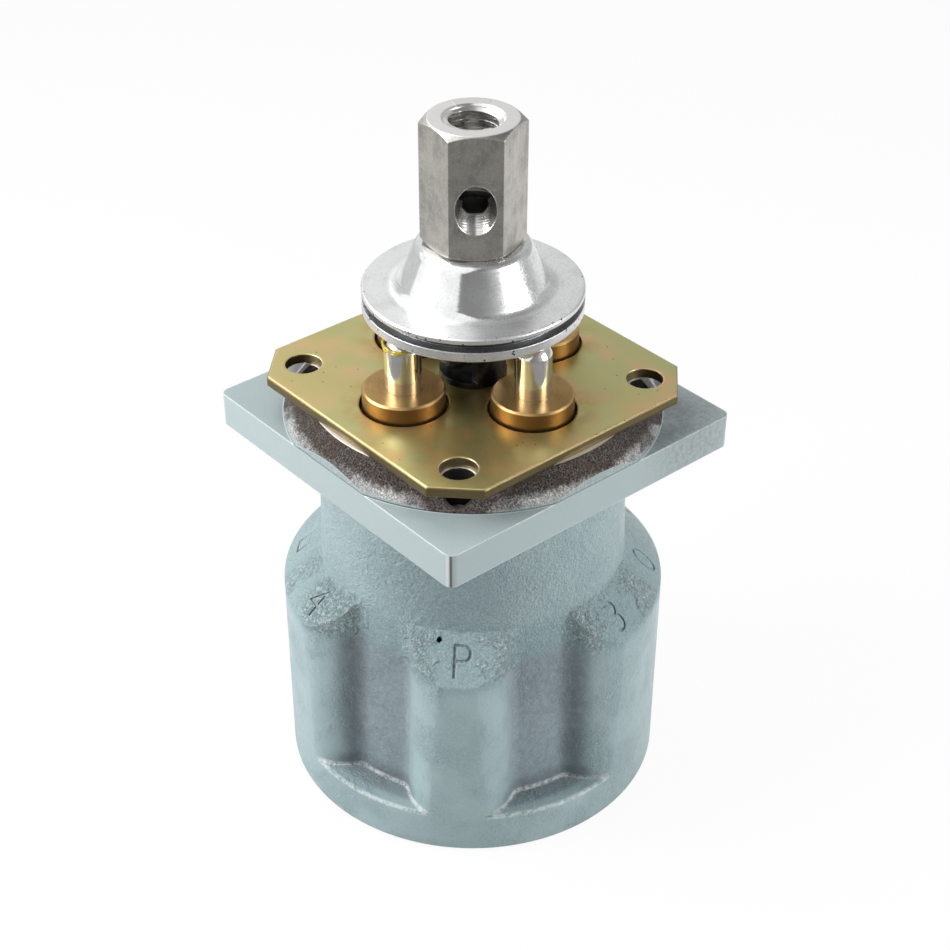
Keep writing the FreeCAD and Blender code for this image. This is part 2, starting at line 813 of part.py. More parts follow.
def make_spool(station):
    """Metering spool, hollow from its foot to the waist: collar for the washer, stem and head above.

    At rest the waist is open to the tank gallery by a little and closed to the pressure gallery.
    """
    body = make_turned_part(
        f"spool_{station}",
        [
            ("0", "spool_bottom"),
            ("spool_radius", "spool_bottom"),
            ("spool_radius", "waist_bottom"),
            ("spool_waist_radius", "waist_bottom"),
            ("spool_waist_radius", "waist_top"),
            ("spool_radius", "waist_top"),
            ("spool_radius", "spool_collar_top - spool_collar_height"),
            ("spool_collar_radius", "spool_collar_top - spool_collar_height"),
            ("spool_collar_radius", "spool_collar_top"),
            ("spool_stem_radius", "spool_collar_top"),
            ("spool_stem_radius", "spool_head_bottom"),
            ("spool_head_radius", "spool_head_bottom"),
            ("spool_head_radius", "spool_head_bottom + spool_head_height"),
            ("0", "spool_head_bottom + spool_head_height"),
        ],
        station,
    )
    hole = sketch_on(body, f"spool_{station}_hole", "XY_Plane", "spool_bottom")
    circle(hole, "0", "0", "spool_bore_hole")
    pocketed(body, f"spool_{station}_bored", hole, "waist_middle - spool_bottom", upwards=True)
    cross = sketch_on(body, f"spool_{station}_cross", "XZ_Plane")
    circle(cross, "0", "waist_middle", "spool_cross_hole")
    pocketed(body, f"spool_{station}_drilled", cross, "3 * spool_radius", both_ways=True)
    return body


def make_washer(station):
    """Hardened washer between the spool's collar and the metering spring."""
    return make_turned_part(
        f"spool_washer_{station}",
        [
            ("spool_stem_radius + washer_slack", "spool_collar_top"),
            ("washer_radius", "spool_collar_top"),
            ("washer_radius", "washer_top"),
            ("spool_stem_radius + washer_slack", "washer_top"),
        ],
        station,
    )


def make_spring(label, station, wire, coil_radius, pitch, low, high):
    """Coil spring standing between two levels, its wire six-sided and just clear of both."""
    body = new_body(f"{label}_{station}")
    section = sketch_on(body, f"{label}_{station}_wire", "XZ_Plane")
    start = f"{low} + {wire} / 2 + spring_slack"
    corners = range(0, 360, 60)
    outline(section, [(f"{coil_radius} + {wire} / 2 * cos({a})", f"{start} + {wire} / 2 * sin({a})") for a in corners])
    doc.recompute()
    coil = body.newObject("PartDesign::AdditiveHelix", f"{label}_{station}_coil")
    coil.Profile = section
    coil.ReferenceAxis = (section, ["V_Axis"])
    coil.Mode = "pitch-height-angle"
    coil.setExpression("Pitch", bound(pitch))
    coil.setExpression("Height", bound(f"{high} - {low} - {wire} - 2 * spring_slack"))
    coil.Angle = 0
    coil.LeftHanded = False
    coil.Reversed = False
    doc.recompute()
    place_at_station(body, station)
    return body


def make_fork(label, stud_radius, stud_length, seat_depth):
    """Half of the universal joint: two ears on a turned collar, with a threaded stud below it.

    It is drawn about the pivot, with the ears on X and the stud downwards. The collar's underside
    is the face that seats, and the stud starts there.
    """
    body = new_body(label)
    stud = sketch_on(body, label + "_stud", "XZ_Plane")
    face = "-joint_reach - joint_collar"
    outline(
        stud,
        [
            ("0", f"{face} - {stud_length}"),
            (f"{stud_radius} - stud_bevel", f"{face} - {stud_length}"),
            (stud_radius, f"{face} - {stud_length} + stud_bevel"),
            (stud_radius, f"{face} - {seat_depth}"),
            ("fork_radius", f"{face} - {seat_depth}"),
            ("fork_radius", "-joint_reach"),
            ("0", "-joint_reach"),
        ],
    )
    turned(body, label + "_turned", stud)
    strip = sketch_on(body, label + "_strip", "YZ_Plane")
    outline(
        strip,
        [
            ("-ear_radius", "-joint_reach"),
            ("ear_radius", "-joint_reach"),
            ("ear_radius", "0"),
            ("-ear_radius", "0"),
        ],
    )
    padded(body, label + "_ears", strip, "2 * fork_radius", both_ways=True)
    eye = sketch_on(body, label + "_eye", "YZ_Plane")
    circle(eye, "0", "0", "ear_radius")
    padded(body, label + "_eyes", eye, "2 * fork_radius", both_ways=True)
    slot = sketch_on(body, label + "_slot", "XZ_Plane")
    outline(
        slot,
        [
            ("-fork_half_gap", "-joint_reach"),
            ("fork_half_gap", "-joint_reach"),
            ("fork_half_gap", "ear_radius + 1"),
            ("-fork_half_gap", "ear_radius + 1"),
        ],
    )
    pocketed(body, label + "_slotted", slot, "4 * ear_radius", both_ways=True)
    trim = sketch_on(body, label + "_trim", "XZ_Plane")
    outline(
        trim,
        [
            ("fork_radius", "-joint_reach"),
            ("2 * fork_radius", "-joint_reach"),
            ("2 * fork_radius", "ear_radius + 1"),
            ("fork_radius", "ear_radius + 1"),
        ],
    )
    turned_away(body, label + "_trimmed", trim)
    pin = sketch_on(body, label + "_pin", "YZ_Plane")
    circle(pin, "0", "0", "pin_radius + pin_fit")
    pocketed(body, label + "_pin_hole", pin, "4 * fork_radius", both_ways=True)
    body.setExpression("Placement.Base.z", bound("pivot_height"))
    return body


def make_joint_forks():
    """Lower fork screwed into the casing, upper fork upside down and turned a quarter."""
    lower = make_fork("joint_base", "base_stud_radius", "base_stud_length", "0")
    upper = make_fork("lever_yoke", "lever_stud_radius", "lever_stud_length", "0")
    upper.Placement = Placement(Vector(0, 0, size("pivot_height")), Rotation(Vector(1, 1, 0), 180))
    upper.setExpression("Placement.Base.z", bound("pivot_height"))
    return [lower, upper]


def make_joint_block():
    """Cross block between the forks, drilled both ways for the four pins."""
    body = new_body("joint_block")
    side = "block_half_side"
    square = sketch_on(body, "BlockSquare", "XY_Plane", f"-{side}")
    outline(square, [(side, side), (f"-{side}", side), (f"-{side}", f"-{side}"), (side, f"-{side}")])
    padded(body, "Block", square, f"2 * {side}")

    def any_edge(middle, edge):
        return True

    bevelled(body, "BlockBevel", "block_bevel", any_edge)
    for name, plane in (("BlockHoleX", "YZ_Plane"), ("BlockHoleY", "XZ_Plane")):
        hole = sketch_on(body, name, plane)
        circle(hole, "0", "0", "pin_radius + pin_fit")
        pocketed(body, name + "Drilled", hole, f"4 * {side}", both_ways=True)
    body.setExpression("Placement.Base.z", bound("pivot_height"))
    return body


def make_joint_pins():
    """Four floating pivot pins: two on X through the lower fork, two on Y through the upper one."""
    pins = []
    for name, angle in (("lower_pin_1", 0), ("upper_pin_1", 90), ("lower_pin_2", 180), ("upper_pin_2", 270)):
        body = new_body(name)
        profile = sketch_on(body, name + "_profile", "XY_Plane")
        outline(
            profile,
            [
                ("pin_start", "0"),
                ("pin_start", "pin_radius"),
                ("pin_end - pin_dome", "pin_radius"),
                ("pin_end", "pin_radius - pin_dome"),
                ("pin_end", "0"),
            ],
        )
        turned(body, name + "_turned", profile, "H_Axis")
        body.Placement = Placement(Vector(0, 0, size("pivot_height")), Rotation(Vector(0, 0, 1), angle))
        body.setExpression("Placement.Base.z", bound("pivot_height"))
        pins.append(body)
    return pins


def make_disc():
    """Swash disc: flat underside for the push rods, boot groove in the rim, tapered hub above."""
    lip = "disc_bottom + disc_lower_lip"
    body = make_turned_part(
        "swash_disc",
        [
            ("lever_stud_radius + thread_fit", "disc_bottom"),
            ("disc_radius - disc_edge", "disc_bottom"),
            ("disc_radius", "disc_bottom + disc_edge"),
            ("disc_radius", lip),
            ("disc_radius - disc_groove_depth", lip),
            ("disc_radius - disc_groove_depth", f"{lip} + disc_groove"),
            ("disc_radius", f"{lip} + disc_groove"),
            ("disc_radius", "disc_top - disc_edge"),
            ("disc_radius - disc_edge", "disc_top"),
            ("hub_base_radius", "disc_top"),
            ("hub_top_radius", "hub_top"),
            ("lever_stud_radius + thread_fit", "hub_top"),
        ],
    )
    rounded(body, "HubRoot", "hub_root", level_ring(size("disc_top"), size("hub_base_radius")))
    rounded(body, "HubCrown", "hub_crown", level_ring(size("hub_top"), size("hub_top_radius")))
    return body


def make_lever_nut():
    """Long hexagonal nut: it locks the disc on the joint's stud and takes the lever in its top.

    It is drawn with a flat towards -Y, and is turned to its place with its body.
    """
    body = new_body("lever_nut")
    hexagon = sketch_on(body, "Hexagon", "XY_Plane", "hub_top")
    corner = "nut_width / 2 / cos(30)"
    outline(hexagon, [(f"{corner} * cos({60 * i})", f"{corner} * sin({60 * i})") for i in range(6)])
    padded(body, "HexBar", hexagon, "nut_length")
    slope = "tan(nut_bevel_angle)"
    for name, level, way in (("TopBevel", "nut_top", "-"), ("BottomBevel", "hub_top", "+")):
        bevel = sketch_on(body, name, "XZ_Plane")
        outline(
            bevel,
            [
                ("nut_bevel_radius", level),
                ("nut_width", level),
                ("nut_width", f"{level} {way} {slope} * (nut_width - nut_bevel_radius)"),
            ],
        )
        turned_away(body, name + "led", bevel)
    # The cable leaves the bore through a hole that slopes down and outwards through the flat.
    # Its circle stands clear of the flat and starts at its top, a hair up the slope, so that the
    # hole's wall meets the bore's wall in one plain curve.
    slanted = Rotation(Vector(1, 0, 0), size("cable_hole_slope"))
    flat = Vector(0, size("hub_top") + size("cable_hole_height"), size("nut_width") / 2)
    clear_of_flat = slanted.multVec(Vector(0, 0, size("cable_hole_radius")))
    cable = body.newObject("Sketcher::SketchObject", "CableCircle")
    cable.AttachmentSupport = [(origin_part(body, "XZ_Plane"), "")]
    cable.MapMode = "FlatFace"
    started_at_top = slanted.multiply(Rotation(Vector(0, 0, 1), 90))
    cable.AttachmentOffset = Placement(flat + clear_of_flat, started_at_top)
    circle(cable, "cable_hole_offset", "0", "cable_hole_radius")
    pocketed(body, "CableHole", cable, "nut_width / 2 / cos(cable_hole_slope) + cable_hole_radius")
    stud = sketch_on(body, "StudBore", "XY_Plane", "hub_top")
    circle(stud, "0", "0", "lever_stud_radius + thread_fit")
    pocketed(body, "StudBored", stud, "nut_lower_bore_depth", upwards=True)
    thread = sketch_on(body, "LeverThread", "XZ_Plane")
    outline(
        thread,
        [
            ("0", "hub_top + nut_lower_bore_depth"),
            ("lever_thread_radius", "hub_top + nut_lower_bore_depth"),
            ("lever_thread_radius", "nut_top - lever_thread_bevel"),
            ("lever_thread_radius + lever_thread_bevel", "nut_top"),
            ("0", "nut_top"),
        ],
    )
    turned_away(body, "LeverThreaded", thread)
    body.Placement = Placement(Vector(0, 0, 0), Rotation(Vector(0, 0, 1), size("nut_angle") + 90))
    return body


def make_all():
    """Every piece of the valve, each a body whose label names its file."""
    pieces = [make_casing(), make_plate()]
    for station in STATION_ANGLES:
        pieces.append(make_bush(station))
        pieces.append(make_o_ring(station))
        pieces.append(make_rod_seal(station))
        pieces.append(make_push_rod(station))
        pieces.append(make_spring_seat(station))
        pieces.append(make_spool(station))
        pieces.append(make_washer(station))
        pieces.append(
            make_spring(
                "return_spring", station, "return_wire", "return_coil_radius", "return_pitch",
                "chamber_floor", "seat_plate_bottom",
            )
        )
        pieces.append(
            make_spring(
                "metering_spring", station, "metering_wire", "metering_coil_radius", "metering_pitch",
                "washer_top", "seat_plate_bottom",
            )
        )
    pieces += make_joint_forks()
    pieces.append(make_joint_block())
    pieces += make_joint_pins()
    pieces.append(make_disc())
    pieces.append(make_lever_nut())
    return pieces


def write_pieces(pieces):
    """Checks every object and every piece, then writes one file for each piece."""
    doc.recompute()
    for thing in doc.Objects:
        if "Invalid" in thing.State or "Error" in thing.State:
            raise RuntimeError(f"{thing.Label} failed: {thing.State}")
    for piece in pieces:
        if piece.Shape.isNull() or not piece.Shape.isValid() or not piece.Shape.Solids:
            raise RuntimeError(f"{piece.Label} has no valid solid")
    os.makedirs("parts", exist_ok=True)
    for piece in pieces:
        piece.Shape.exportStep(f"parts/{piece.Label}.step")
        print(f"{piece.Label}: {len(piece.Shape.Solids)} solid, {piece.Shape.Volume:.1f} mm3")


write_pieces(make_all())
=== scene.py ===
import math

import bpy
from mathutils import Matrix, Vector


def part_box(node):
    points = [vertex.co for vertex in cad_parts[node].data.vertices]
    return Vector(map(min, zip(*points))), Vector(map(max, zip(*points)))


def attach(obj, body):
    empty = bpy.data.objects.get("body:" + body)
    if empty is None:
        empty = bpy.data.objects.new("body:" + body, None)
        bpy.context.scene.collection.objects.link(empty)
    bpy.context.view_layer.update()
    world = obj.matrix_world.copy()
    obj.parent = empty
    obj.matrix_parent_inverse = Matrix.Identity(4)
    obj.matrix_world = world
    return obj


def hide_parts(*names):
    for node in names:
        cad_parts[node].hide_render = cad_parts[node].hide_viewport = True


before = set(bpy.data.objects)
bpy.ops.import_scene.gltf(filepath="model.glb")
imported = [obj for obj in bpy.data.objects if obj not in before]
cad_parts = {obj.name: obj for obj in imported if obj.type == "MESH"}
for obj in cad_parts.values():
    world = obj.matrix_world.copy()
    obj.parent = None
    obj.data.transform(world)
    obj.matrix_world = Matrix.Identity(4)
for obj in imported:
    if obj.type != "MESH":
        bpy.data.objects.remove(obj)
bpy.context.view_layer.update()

mm = 0.001
bpy.ops.object.select_all(action="DESELECT")

# Camera
# It stands off the flange's front corner and looks down on the valve through a long lens.
# The lens and the stand come from the photograph's perspective, on a frame 950 pixels wide.
frame_width_px = 950
focal_length_px = 1908
sensor_width = 36.0
camera_turn = math.radians(49.41)
camera_rise = math.radians(35.04)
camera_distance = 0.4912
camera_roll = math.radians(0.13)
aim_height = 0.08526
aim_sideways = 0.00052

camera_right = Vector((math.cos(camera_turn), math.sin(camera_turn), 0))
towards_camera = Vector((math.sin(camera_turn), -math.cos(camera_turn), 0))
aim = Vector((0, 0, aim_height)) + camera_right * aim_sideways
line_of_sight = towards_camera * math.cos(camera_rise) + Vector((0, 0, math.sin(camera_rise)))
bpy.ops.object.camera_add(location=aim + line_of_sight * camera_distance)
camera = bpy.context.object
camera.name = "camera"
level_view = line_of_sight.to_track_quat("Z", "Y").to_matrix()
camera.rotation_euler = (level_view @ Matrix.Rotation(camera_roll, 3, "Z")).to_euler()
camera.data.sensor_width = sensor_width
camera.data.lens = sensor_width * focal_length_px / frame_width_px
camera.data.dof.use_dof = False
bpy.context.scene.camera = camera
bpy.context.scene.view_settings.view_transform = "Standard"

# Studio
# A pale floor in a white room that is dim in front, where the camera stands, and three soft lamps.
# Metal also sees a large round reflector high on the left, which draws the sharp patch on the disc.
white = (1, 1, 1, 1)
floor_size = 6.0
floor_colour = (0.80, 0.80, 0.80, 1)
floor_glow = 0.93
floor_mirrored = 0.9
floor_at_left, floor_at_right = 0.72, 1.0
floor_dim_front = 0.25
floor_left_to_right = -0.05, 0.05
floor_back_to_front = -0.06, 0.12
room_in_front, room_at_sides, room_behind = 0.06, 0.42, 0.50
room_front_edges = math.radians(25), math.radians(80)
room_rear_edges = math.radians(100), math.pi
# What metal sees round the room, as a turn from the camera in degrees and a strength.
mirrored_room = (
    (-180, 0.84), (-160, 0.98), (-125, 0.72), (-80, 0.62), (-55, 0.40), (-10, 0.26), (22, 0.30),
    (46, 0.60), (64, 0.64), (90, 0.50), (128, 0.50), (165, 0.66), (180, 0.84),
)
ceiling_rise = math.sin(math.radians(36)), math.sin(math.radians(56))
ceiling_share = 0.5
reflector = {"turn": -75, "rise": 42, "half_width": 50, "soft": 1.0, "strength": 1.25}
left_lamp = {"turn": -80, "rise": 32, "away": 0.6, "width": 0.4, "height": 0.4, "power": 4.6}
right_lamp = {"turn": 70, "rise": 22, "away": 0.7, "width": 0.35, "height": 0.35, "power": 3.7}
top_lamp = {"turn": -140, "rise": 56, "away": 0.8, "width": 0.4, "height": 0.4, "power": 1.6}


def feed(tree, node, feeds):
    """Feeds a node's inputs, each from another node's output or with a plain value."""
    for name, value in feeds.items():
        if isinstance(value, bpy.types.NodeSocket):
            tree.links.new(value, node.inputs[name])
        else:
            node.inputs[name].default_value = value


def add_node(tree, kind, feeds=None, **settings):
    """Adds a node with its settings and feeds its inputs."""
    node = tree.nodes.new(kind)
    for name, value in settings.items():
        setattr(node, name, value)
    feed(tree, node, feeds or {})
    return node


def worked_out(tree, operation, *values):
    """The result of one sum on numbers or on other nodes' outputs."""
    return add_node(tree, "ShaderNodeMath", dict(enumerate(values)), operation=operation).outputs[0]


def times(tree, *values):
    """Several values multiplied together."""
    product = values[0]
    for value in values[1:]:
        product = worked_out(tree, "MULTIPLY", product, value)
    return product


def eased(tree, value, start, end, low=0.0, high=1.0):
    """Goes smoothly from low to high while the value goes from start to end."""
    feeds = {"Value": value, "From Min": start, "From Max": end, "To Min": low, "To Max": high}
    return add_node(tree, "ShaderNodeMapRange", feeds, interpolation_type="SMOOTHSTEP").outputs["Result"]


def far_along(tree, place, way):
    """How far a place lies along a direction."""
    feeds = {0: place, 1: way}
    return add_node(tree, "ShaderNodeVectorMath", feeds, operation="DOT_PRODUCT").outputs["Value"]


def parts_of(tree, place):
    """The X, Y and Z of a place."""
    return add_node(tree, "ShaderNodeSeparateXYZ", {0: place}).outputs


def way_to(turn, rise):
    """The direction to something, as a turn from the camera and a rise over the floor in degrees."""
    turn, rise = math.radians(turn), math.radians(rise)
    level = towards_camera * math.cos(turn) + camera_right * math.sin(turn)
    return level * math.cos(rise) + Vector((0, 0, math.sin(rise)))


world = bpy.data.worlds.new("white_room")
world.use_nodes = True
bpy.context.scene.world = world
tree = world.node_tree
looking = add_node(tree, "ShaderNodeTexCoord").outputs["Generated"]
ahead = far_along(tree, looking, towards_camera)
turn = worked_out(tree, "ARCTAN2", far_along(tree, looking, camera_right), ahead)
off_front = worked_out(tree, "ABSOLUTE", turn)
front_room = eased(tree, off_front, *room_front_edges, room_in_front, room_at_sides)
rear_room = eased(tree, off_front, *room_rear_edges, room_at_sides, room_behind)
room = worked_out(tree, "MINIMUM", front_room, rear_room)
share_of_turn = worked_out(tree, "MULTIPLY_ADD", turn, 1 / math.tau, 0.5)
around_room = add_node(tree, "ShaderNodeValToRGB", {0: share_of_turn})
ramp = around_room.color_ramp
for step, (degrees, strength) in enumerate(mirrored_room):
    stop = ramp.elements[step] if step < 2 else ramp.elements.new(1.0)
    stop.position = 0.5 + degrees / 360
    stop.color = (strength, strength, strength, 1)
ceiling = eased(tree, parts_of(tree, looking)["Z"], *ceiling_rise, 1.0, ceiling_share)
sky = times(tree, around_room.outputs["Color"], ceiling)
near_reflector = far_along(tree, looking, way_to(reflector["turn"], reflector["rise"]))
outer = math.cos(math.radians(reflector["half_width"] + reflector["soft"]))
inner = math.cos(math.radians(reflector["half_width"] - reflector["soft"]))
on_reflector = eased(tree, near_reflector, outer, inner)
sky = eased(tree, on_reflector, 0, 1, sky, reflector["strength"])
rays = add_node(tree, "ShaderNodeLightPath").outputs
strength = eased(tree, rays["Is Glossy Ray"], 0, 1, room, sky)
strength = eased(tree, rays["Is Camera Ray"], 0, 1, strength, 1.0)
feed(tree, tree.nodes["Background"], {"Color": white, "Strength": strength})

bpy.ops.mesh.primitive_plane_add(size=floor_size)
floor = bpy.context.object
floor.name = "floor"
paper = bpy.data.materials.new("white_paper")
paper.use_nodes = True
tree = paper.node_tree
tree.nodes.remove(tree.nodes["Principled BSDF"])
spot = add_node(tree, "ShaderNodeTexCoord").outputs["Object"]
to_right = far_along(tree, spot, camera_right)
to_front = far_along(tree, spot, towards_camera)
at_sides = eased(tree, to_right, *floor_left_to_right, floor_at_left, floor_at_right)
in_metal = eased(tree, to_front, *floor_back_to_front, at_sides, floor_dim_front)
rays = add_node(tree, "ShaderNodeLightPath").outputs
glow = eased(tree, rays["Is Glossy Ray"], 0, 1, 1.0, in_metal)
share = times(tree, rays["Is Camera Ray"], floor_glow)
share = worked_out(tree, "MAXIMUM", share, times(tree, rays["Is Glossy Ray"], floor_mirrored))
plain = add_node(tree, "ShaderNodeBsdfDiffuse", {"Color": floor_colour}).outputs[0]
bright = add_node(tree, "ShaderNodeEmission", {"Color": white, "Strength": glow}).outputs[0]
both = add_node(tree, "ShaderNodeMixShader", {0: share, 1: plain, 2: bright}).outputs[0]
feed(tree, tree.nodes["Material Output"], {"Surface": both})
floor.data.materials.append(paper)

for lamp_name, lamp in (("left", left_lamp), ("right", right_lamp), ("top", top_lamp)):
    way = way_to(lamp["turn"], lamp["rise"])
    bpy.ops.object.light_add(type="AREA", location=Vector((0, 0, aim_height)) + way * lamp["away"])
    light = bpy.context.object
    light.name = lamp_name + "_lamp"
    light.rotation_euler = way.to_track_quat("Z", "Y").to_euler()
    light.data.shape = "RECTANGLE"
    light.data.size = lamp["width"]
    light.data.size_y = lamp["height"]
    light.data.energy = lamp["power"]

# Casing
# One iron casting, sprayed with pale blue-grey enamel: a round base with six port bosses, a
# waisted neck and a square flange. The seat under the plate is bare, and so is the turned base.
enamel = (0.322, 0.420, 0.436, 1)
enamel_thin = (0.262, 0.355, 0.374, 1)
# Paler paint on the grain's crests: partly worn paint, partly painted highlight.
enamel_worn_and_lit_on_crests = (0.470, 0.570, 0.580, 1)
# Pale paint for rubbed edges, painted highlights and glints.
enamel_worn_and_highlit = (0.740, 0.790, 0.790, 1)
# Painted sheen: a greyer enamel on the flange, for the white that its gloss reflects.
enamel_greyed_for_sheen = (0.345, 0.412, 0.420, 1)
# Painted shade over the shoulder, under the flange.
enamel_shaded_on_shoulder = (0.200, 0.300, 0.315, 1)
# Painted shade: the flange's shadow on the neck's front.
enamel_in_flange_shadow = (0.175, 0.245, 0.262, 1)
# Painted shade, greyer in tint, in the pockets between the bosses and on their ledges.
enamel_shaded_in_pockets = (0.150, 0.172, 0.195, 1)
# Darker paint in the grain's pits: partly thin paint, partly painted shade.
enamel_thin_and_shaded_in_pits = (0.120, 0.175, 0.190, 1)
# Painted shade beside the bosses, where the ribs would shadow the pockets.
rib_shadow_colour = (0.085, 0.098, 0.115, 1)
# Soot for the smudge. It is also the painted shade by the plate's edge and the line down the front corner.
soot_and_shade = (0.110, 0.100, 0.105, 1)
raw_iron = (0.026, 0.019, 0.017, 1)
raw_iron_grain = (0.215, 0.195, 0.182, 1)
ground_iron = (0.300, 0.298, 0.290, 1)
ground_iron_grain = (0.860, 0.860, 0.850, 1)
brown_iron = (0.090, 0.052, 0.038, 1)
turned_iron = (0.66, 0.65, 0.64, 1)
# Painted shade: dark iron for the walls of the screw holes under the plate.
screw_hole_shade = (0.060, 0.052, 0.046, 1)
body_round = 0.9
ledge_round = 2.0
flange_round = 0.45
skin_relief = 1.3
seat_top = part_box("retaining_plate")[0].z / mm
flange_low, flange_high = seat_top - 15.8, seat_top - 6.8
flange_half = 45.45
neck_low = 62.0
seat_paint_edge = 46.8
seat_ground_edge = 45.1
front_corner = math.radians(-45)
corner_reach = 40.0
first_boss = math.radians(15)
half_sector = math.radians(30)
port_circle = 37.7
port_mouth = 9.4
port_roof = 30.0
screw_offset = 30.0
screw_hole_radius = 4.3
pocket_mouth, pocket_back = 48.0, 36.0
ledge_outside, ledge_inside = 47.4, 45.6
# How far in and out the painted shade beside the bosses reaches.
rib_shadow_outside, rib_shadow_inside = 47.5, 44.0
smudge_place = (41, 33, 107.4)
# Two places on the flange under the plate's edge that get painted shade.
shade_by_plate_edge = (-39.0, -20.5, 107.4), (20.5, 39.0, 107.4)
# The middle of the painted shade on the neck's front.
neck_shade_middle = (20, -24, 78)
crumbled_pad = (-7.0, -44.0, 61.0)
# Bands, each as where it starts, where it is full, where it is still full and where it ends.
ledge_band = 9.0, 11.0, 14.5, 18.0
shoulder_band = neck_low - 9, neck_low - 5, neck_low + 2, neck_low + 6
crumbled_band = neck_low - 9, neck_low - 4, neck_low + 1, neck_low + 7
rib_shadow_band = 10.0, 22.0, neck_low - 10, neck_low - 2
pad_side_band = 0.40, 0.62, 0.78, 0.95
beside_boss_band = math.radians(12), math.radians(17), math.radians(19), math.radians(25)
beside_corner_line_band = -1.9, -1.3, -0.8, -0.3


def new_group(name, inputs, outputs):
    """A node group, what it is given and the node for its results. Inputs have their usual values."""
    group = bpy.data.node_groups.new(name, "ShaderNodeTree")
    for title, value in inputs.items():
        kind = "NodeSocketVector" if isinstance(value, tuple) else "NodeSocketFloat"
        group.interface.new_socket(title, in_out="INPUT", socket_type=kind).default_value = value
    for title, kind in outputs.items():
        group.interface.new_socket(title, in_out="OUTPUT", socket_type="NodeSocket" + kind)
    return group, group.nodes.new("NodeGroupInput").outputs, group.nodes.new("NodeGroupOutput")


def placed(tree, group, **feeds):
    """The outputs of a group placed in a material with its own values."""
    return add_node(tree, "ShaderNodeGroup", feeds, node_tree=group).outputs


def noise(tree, place, size, detail=2.0, roughness=0.5):
    """Cloudy noise from 0 to 1, with lumps of about the size given."""
    feeds = {"Vector": place, "Scale": 1 / size, "Detail": detail, "Roughness": roughness}
    return add_node(tree, "ShaderNodeTexNoise", feeds).outputs[0]


def length_of(tree, vector):
    """How long a vector is."""
    return add_node(tree, "ShaderNodeVectorMath", {0: vector}, operation="LENGTH").outputs["Value"]


def off_axis(tree, x, y):
    """Distance from an upright axis, from the two level distances to it."""
    return length_of(tree, add_node(tree, "ShaderNodeCombineXYZ", {"X": x, "Y": y}).outputs[0])


# Distance from an upright axis, height, and the angle about it, in millimetres and radians.
round_axis, given, results = new_group(
    "round_an_axis",
    {"Place": (0, 0, 0), "Centre": (0, 0, 0)},
    {"Radius": "Float", "Height": "Float", "Angle": "Float"},
)
ends = {0: given["Place"], 1: given["Centre"]}
offset = add_node(round_axis, "ShaderNodeVectorMath", ends, operation="SUBTRACT").outputs[0]
parts = parts_of(round_axis, offset)
radius = off_axis(round_axis, parts["X"], parts["Y"])
angle = worked_out(round_axis, "ARCTAN2", parts["Y"], parts["X"])
feed(round_axis, results, {"Radius": radius, "Height": parts["Z"], "Angle": angle})

# A rounded normal along sharp edges, and a mask of where those edges are.
soft_edges, given, results = new_group(
    "soft_edges",
    {"Radius": 0.0003, "Sharpness": 0.25},
    {"Normal": "Vector", "Edge": "Float"},
)
rounded = add_node(soft_edges, "ShaderNodeBevel", {"Radius": given["Radius"]}, samples=6).outputs[0]
straight = add_node(soft_edges, "ShaderNodeNewGeometry").outputs["Normal"]
turned_away = worked_out(soft_edges, "SUBTRACT", 1.0, far_along(soft_edges, rounded, straight))
edge = eased(soft_edges, turned_away, 0.02, given["Sharpness"])
feed(soft_edges, results, {"Normal": rounded, "Edge": edge})

# The sand's grain on a casting: lumps and fine grains, with a share for how coarse the skin is.
cast_grain, given, results = new_group(
    "cast_grain",
    {"Place": (0, 0, 0), "Coarse": 0.5},
    {"Height": "Float", "Grains": "Float"},
)
lumps = noise(cast_grain, given["Place"], 1.9, 3.0, 0.6)
grains = noise(cast_grain, given["Place"], 0.5, 3.0, 0.65)
both = worked_out(cast_grain, "MULTIPLY_ADD", grains, 0.45, times(cast_grain, lumps, 0.75))
share = worked_out(cast_grain, "MULTIPLY_ADD", given["Coarse"], 0.85, 0.15)
grain_mask = eased(cast_grain, grains, 0.34, 0.66)
feed(cast_grain, results, {"Height": times(cast_grain, both, share), "Grains": grain_mask})

# Fine rings left by the lathe on a face or a shaft.
turned_lines, given, results = new_group(
    "turned_lines",
    {"Radius": 0.0, "Height": 0.0, "Spacing": 0.3},
    {"Lines": "Float"},
)
out_and_up = worked_out(turned_lines, "MULTIPLY_ADD", given["Height"], 1.37, given["Radius"])
counted = worked_out(turned_lines, "DIVIDE", out_and_up, given["Spacing"])
feeds = {"W": counted, "Scale": 1.0, "Detail": 3.0}
lines = add_node(turned_lines, "ShaderNodeTexNoise", feeds, noise_dimensions="1D").outputs[0]
feed(turned_lines, results, {"Lines": lines})

# Small scattered specks, pits or splashes, of about one size.
specks, given, results = new_group(
    "specks",
    {"Place": (0, 0, 0), "Size": 1.0, "Share": 0.2},
    {"Mask": "Float"},
)
cell_scale = worked_out(specks, "DIVIDE", 0.4, given["Size"])
cells = add_node(specks, "ShaderNodeTexVoronoi", {"Vector": given["Place"], "Scale": cell_scale})
chosen = add_node(specks, "ShaderNodeSeparateColor", {0: cells.outputs["Color"]}).outputs[0]
kept = worked_out(specks, "LESS_THAN", chosen, given["Share"])
dot = eased(specks, cells.outputs["Distance"], 0.32, 0.18)
feed(specks, results, {"Mask": times(specks, dot, kept)})


def new_finish(name):
    """A material, its node tree, its shader, and the place on the part in millimetres."""
    material = bpy.data.materials.new(name)
    material.use_nodes = True
    tree = material.node_tree
    spot = add_node(tree, "ShaderNodeTexCoord").outputs["Object"]
    place = add_node(tree, "ShaderNodeVectorMath", {0: spot, "Scale": 1 / mm}, operation="SCALE").outputs[0]
    return material, tree, tree.nodes["Principled BSDF"], place


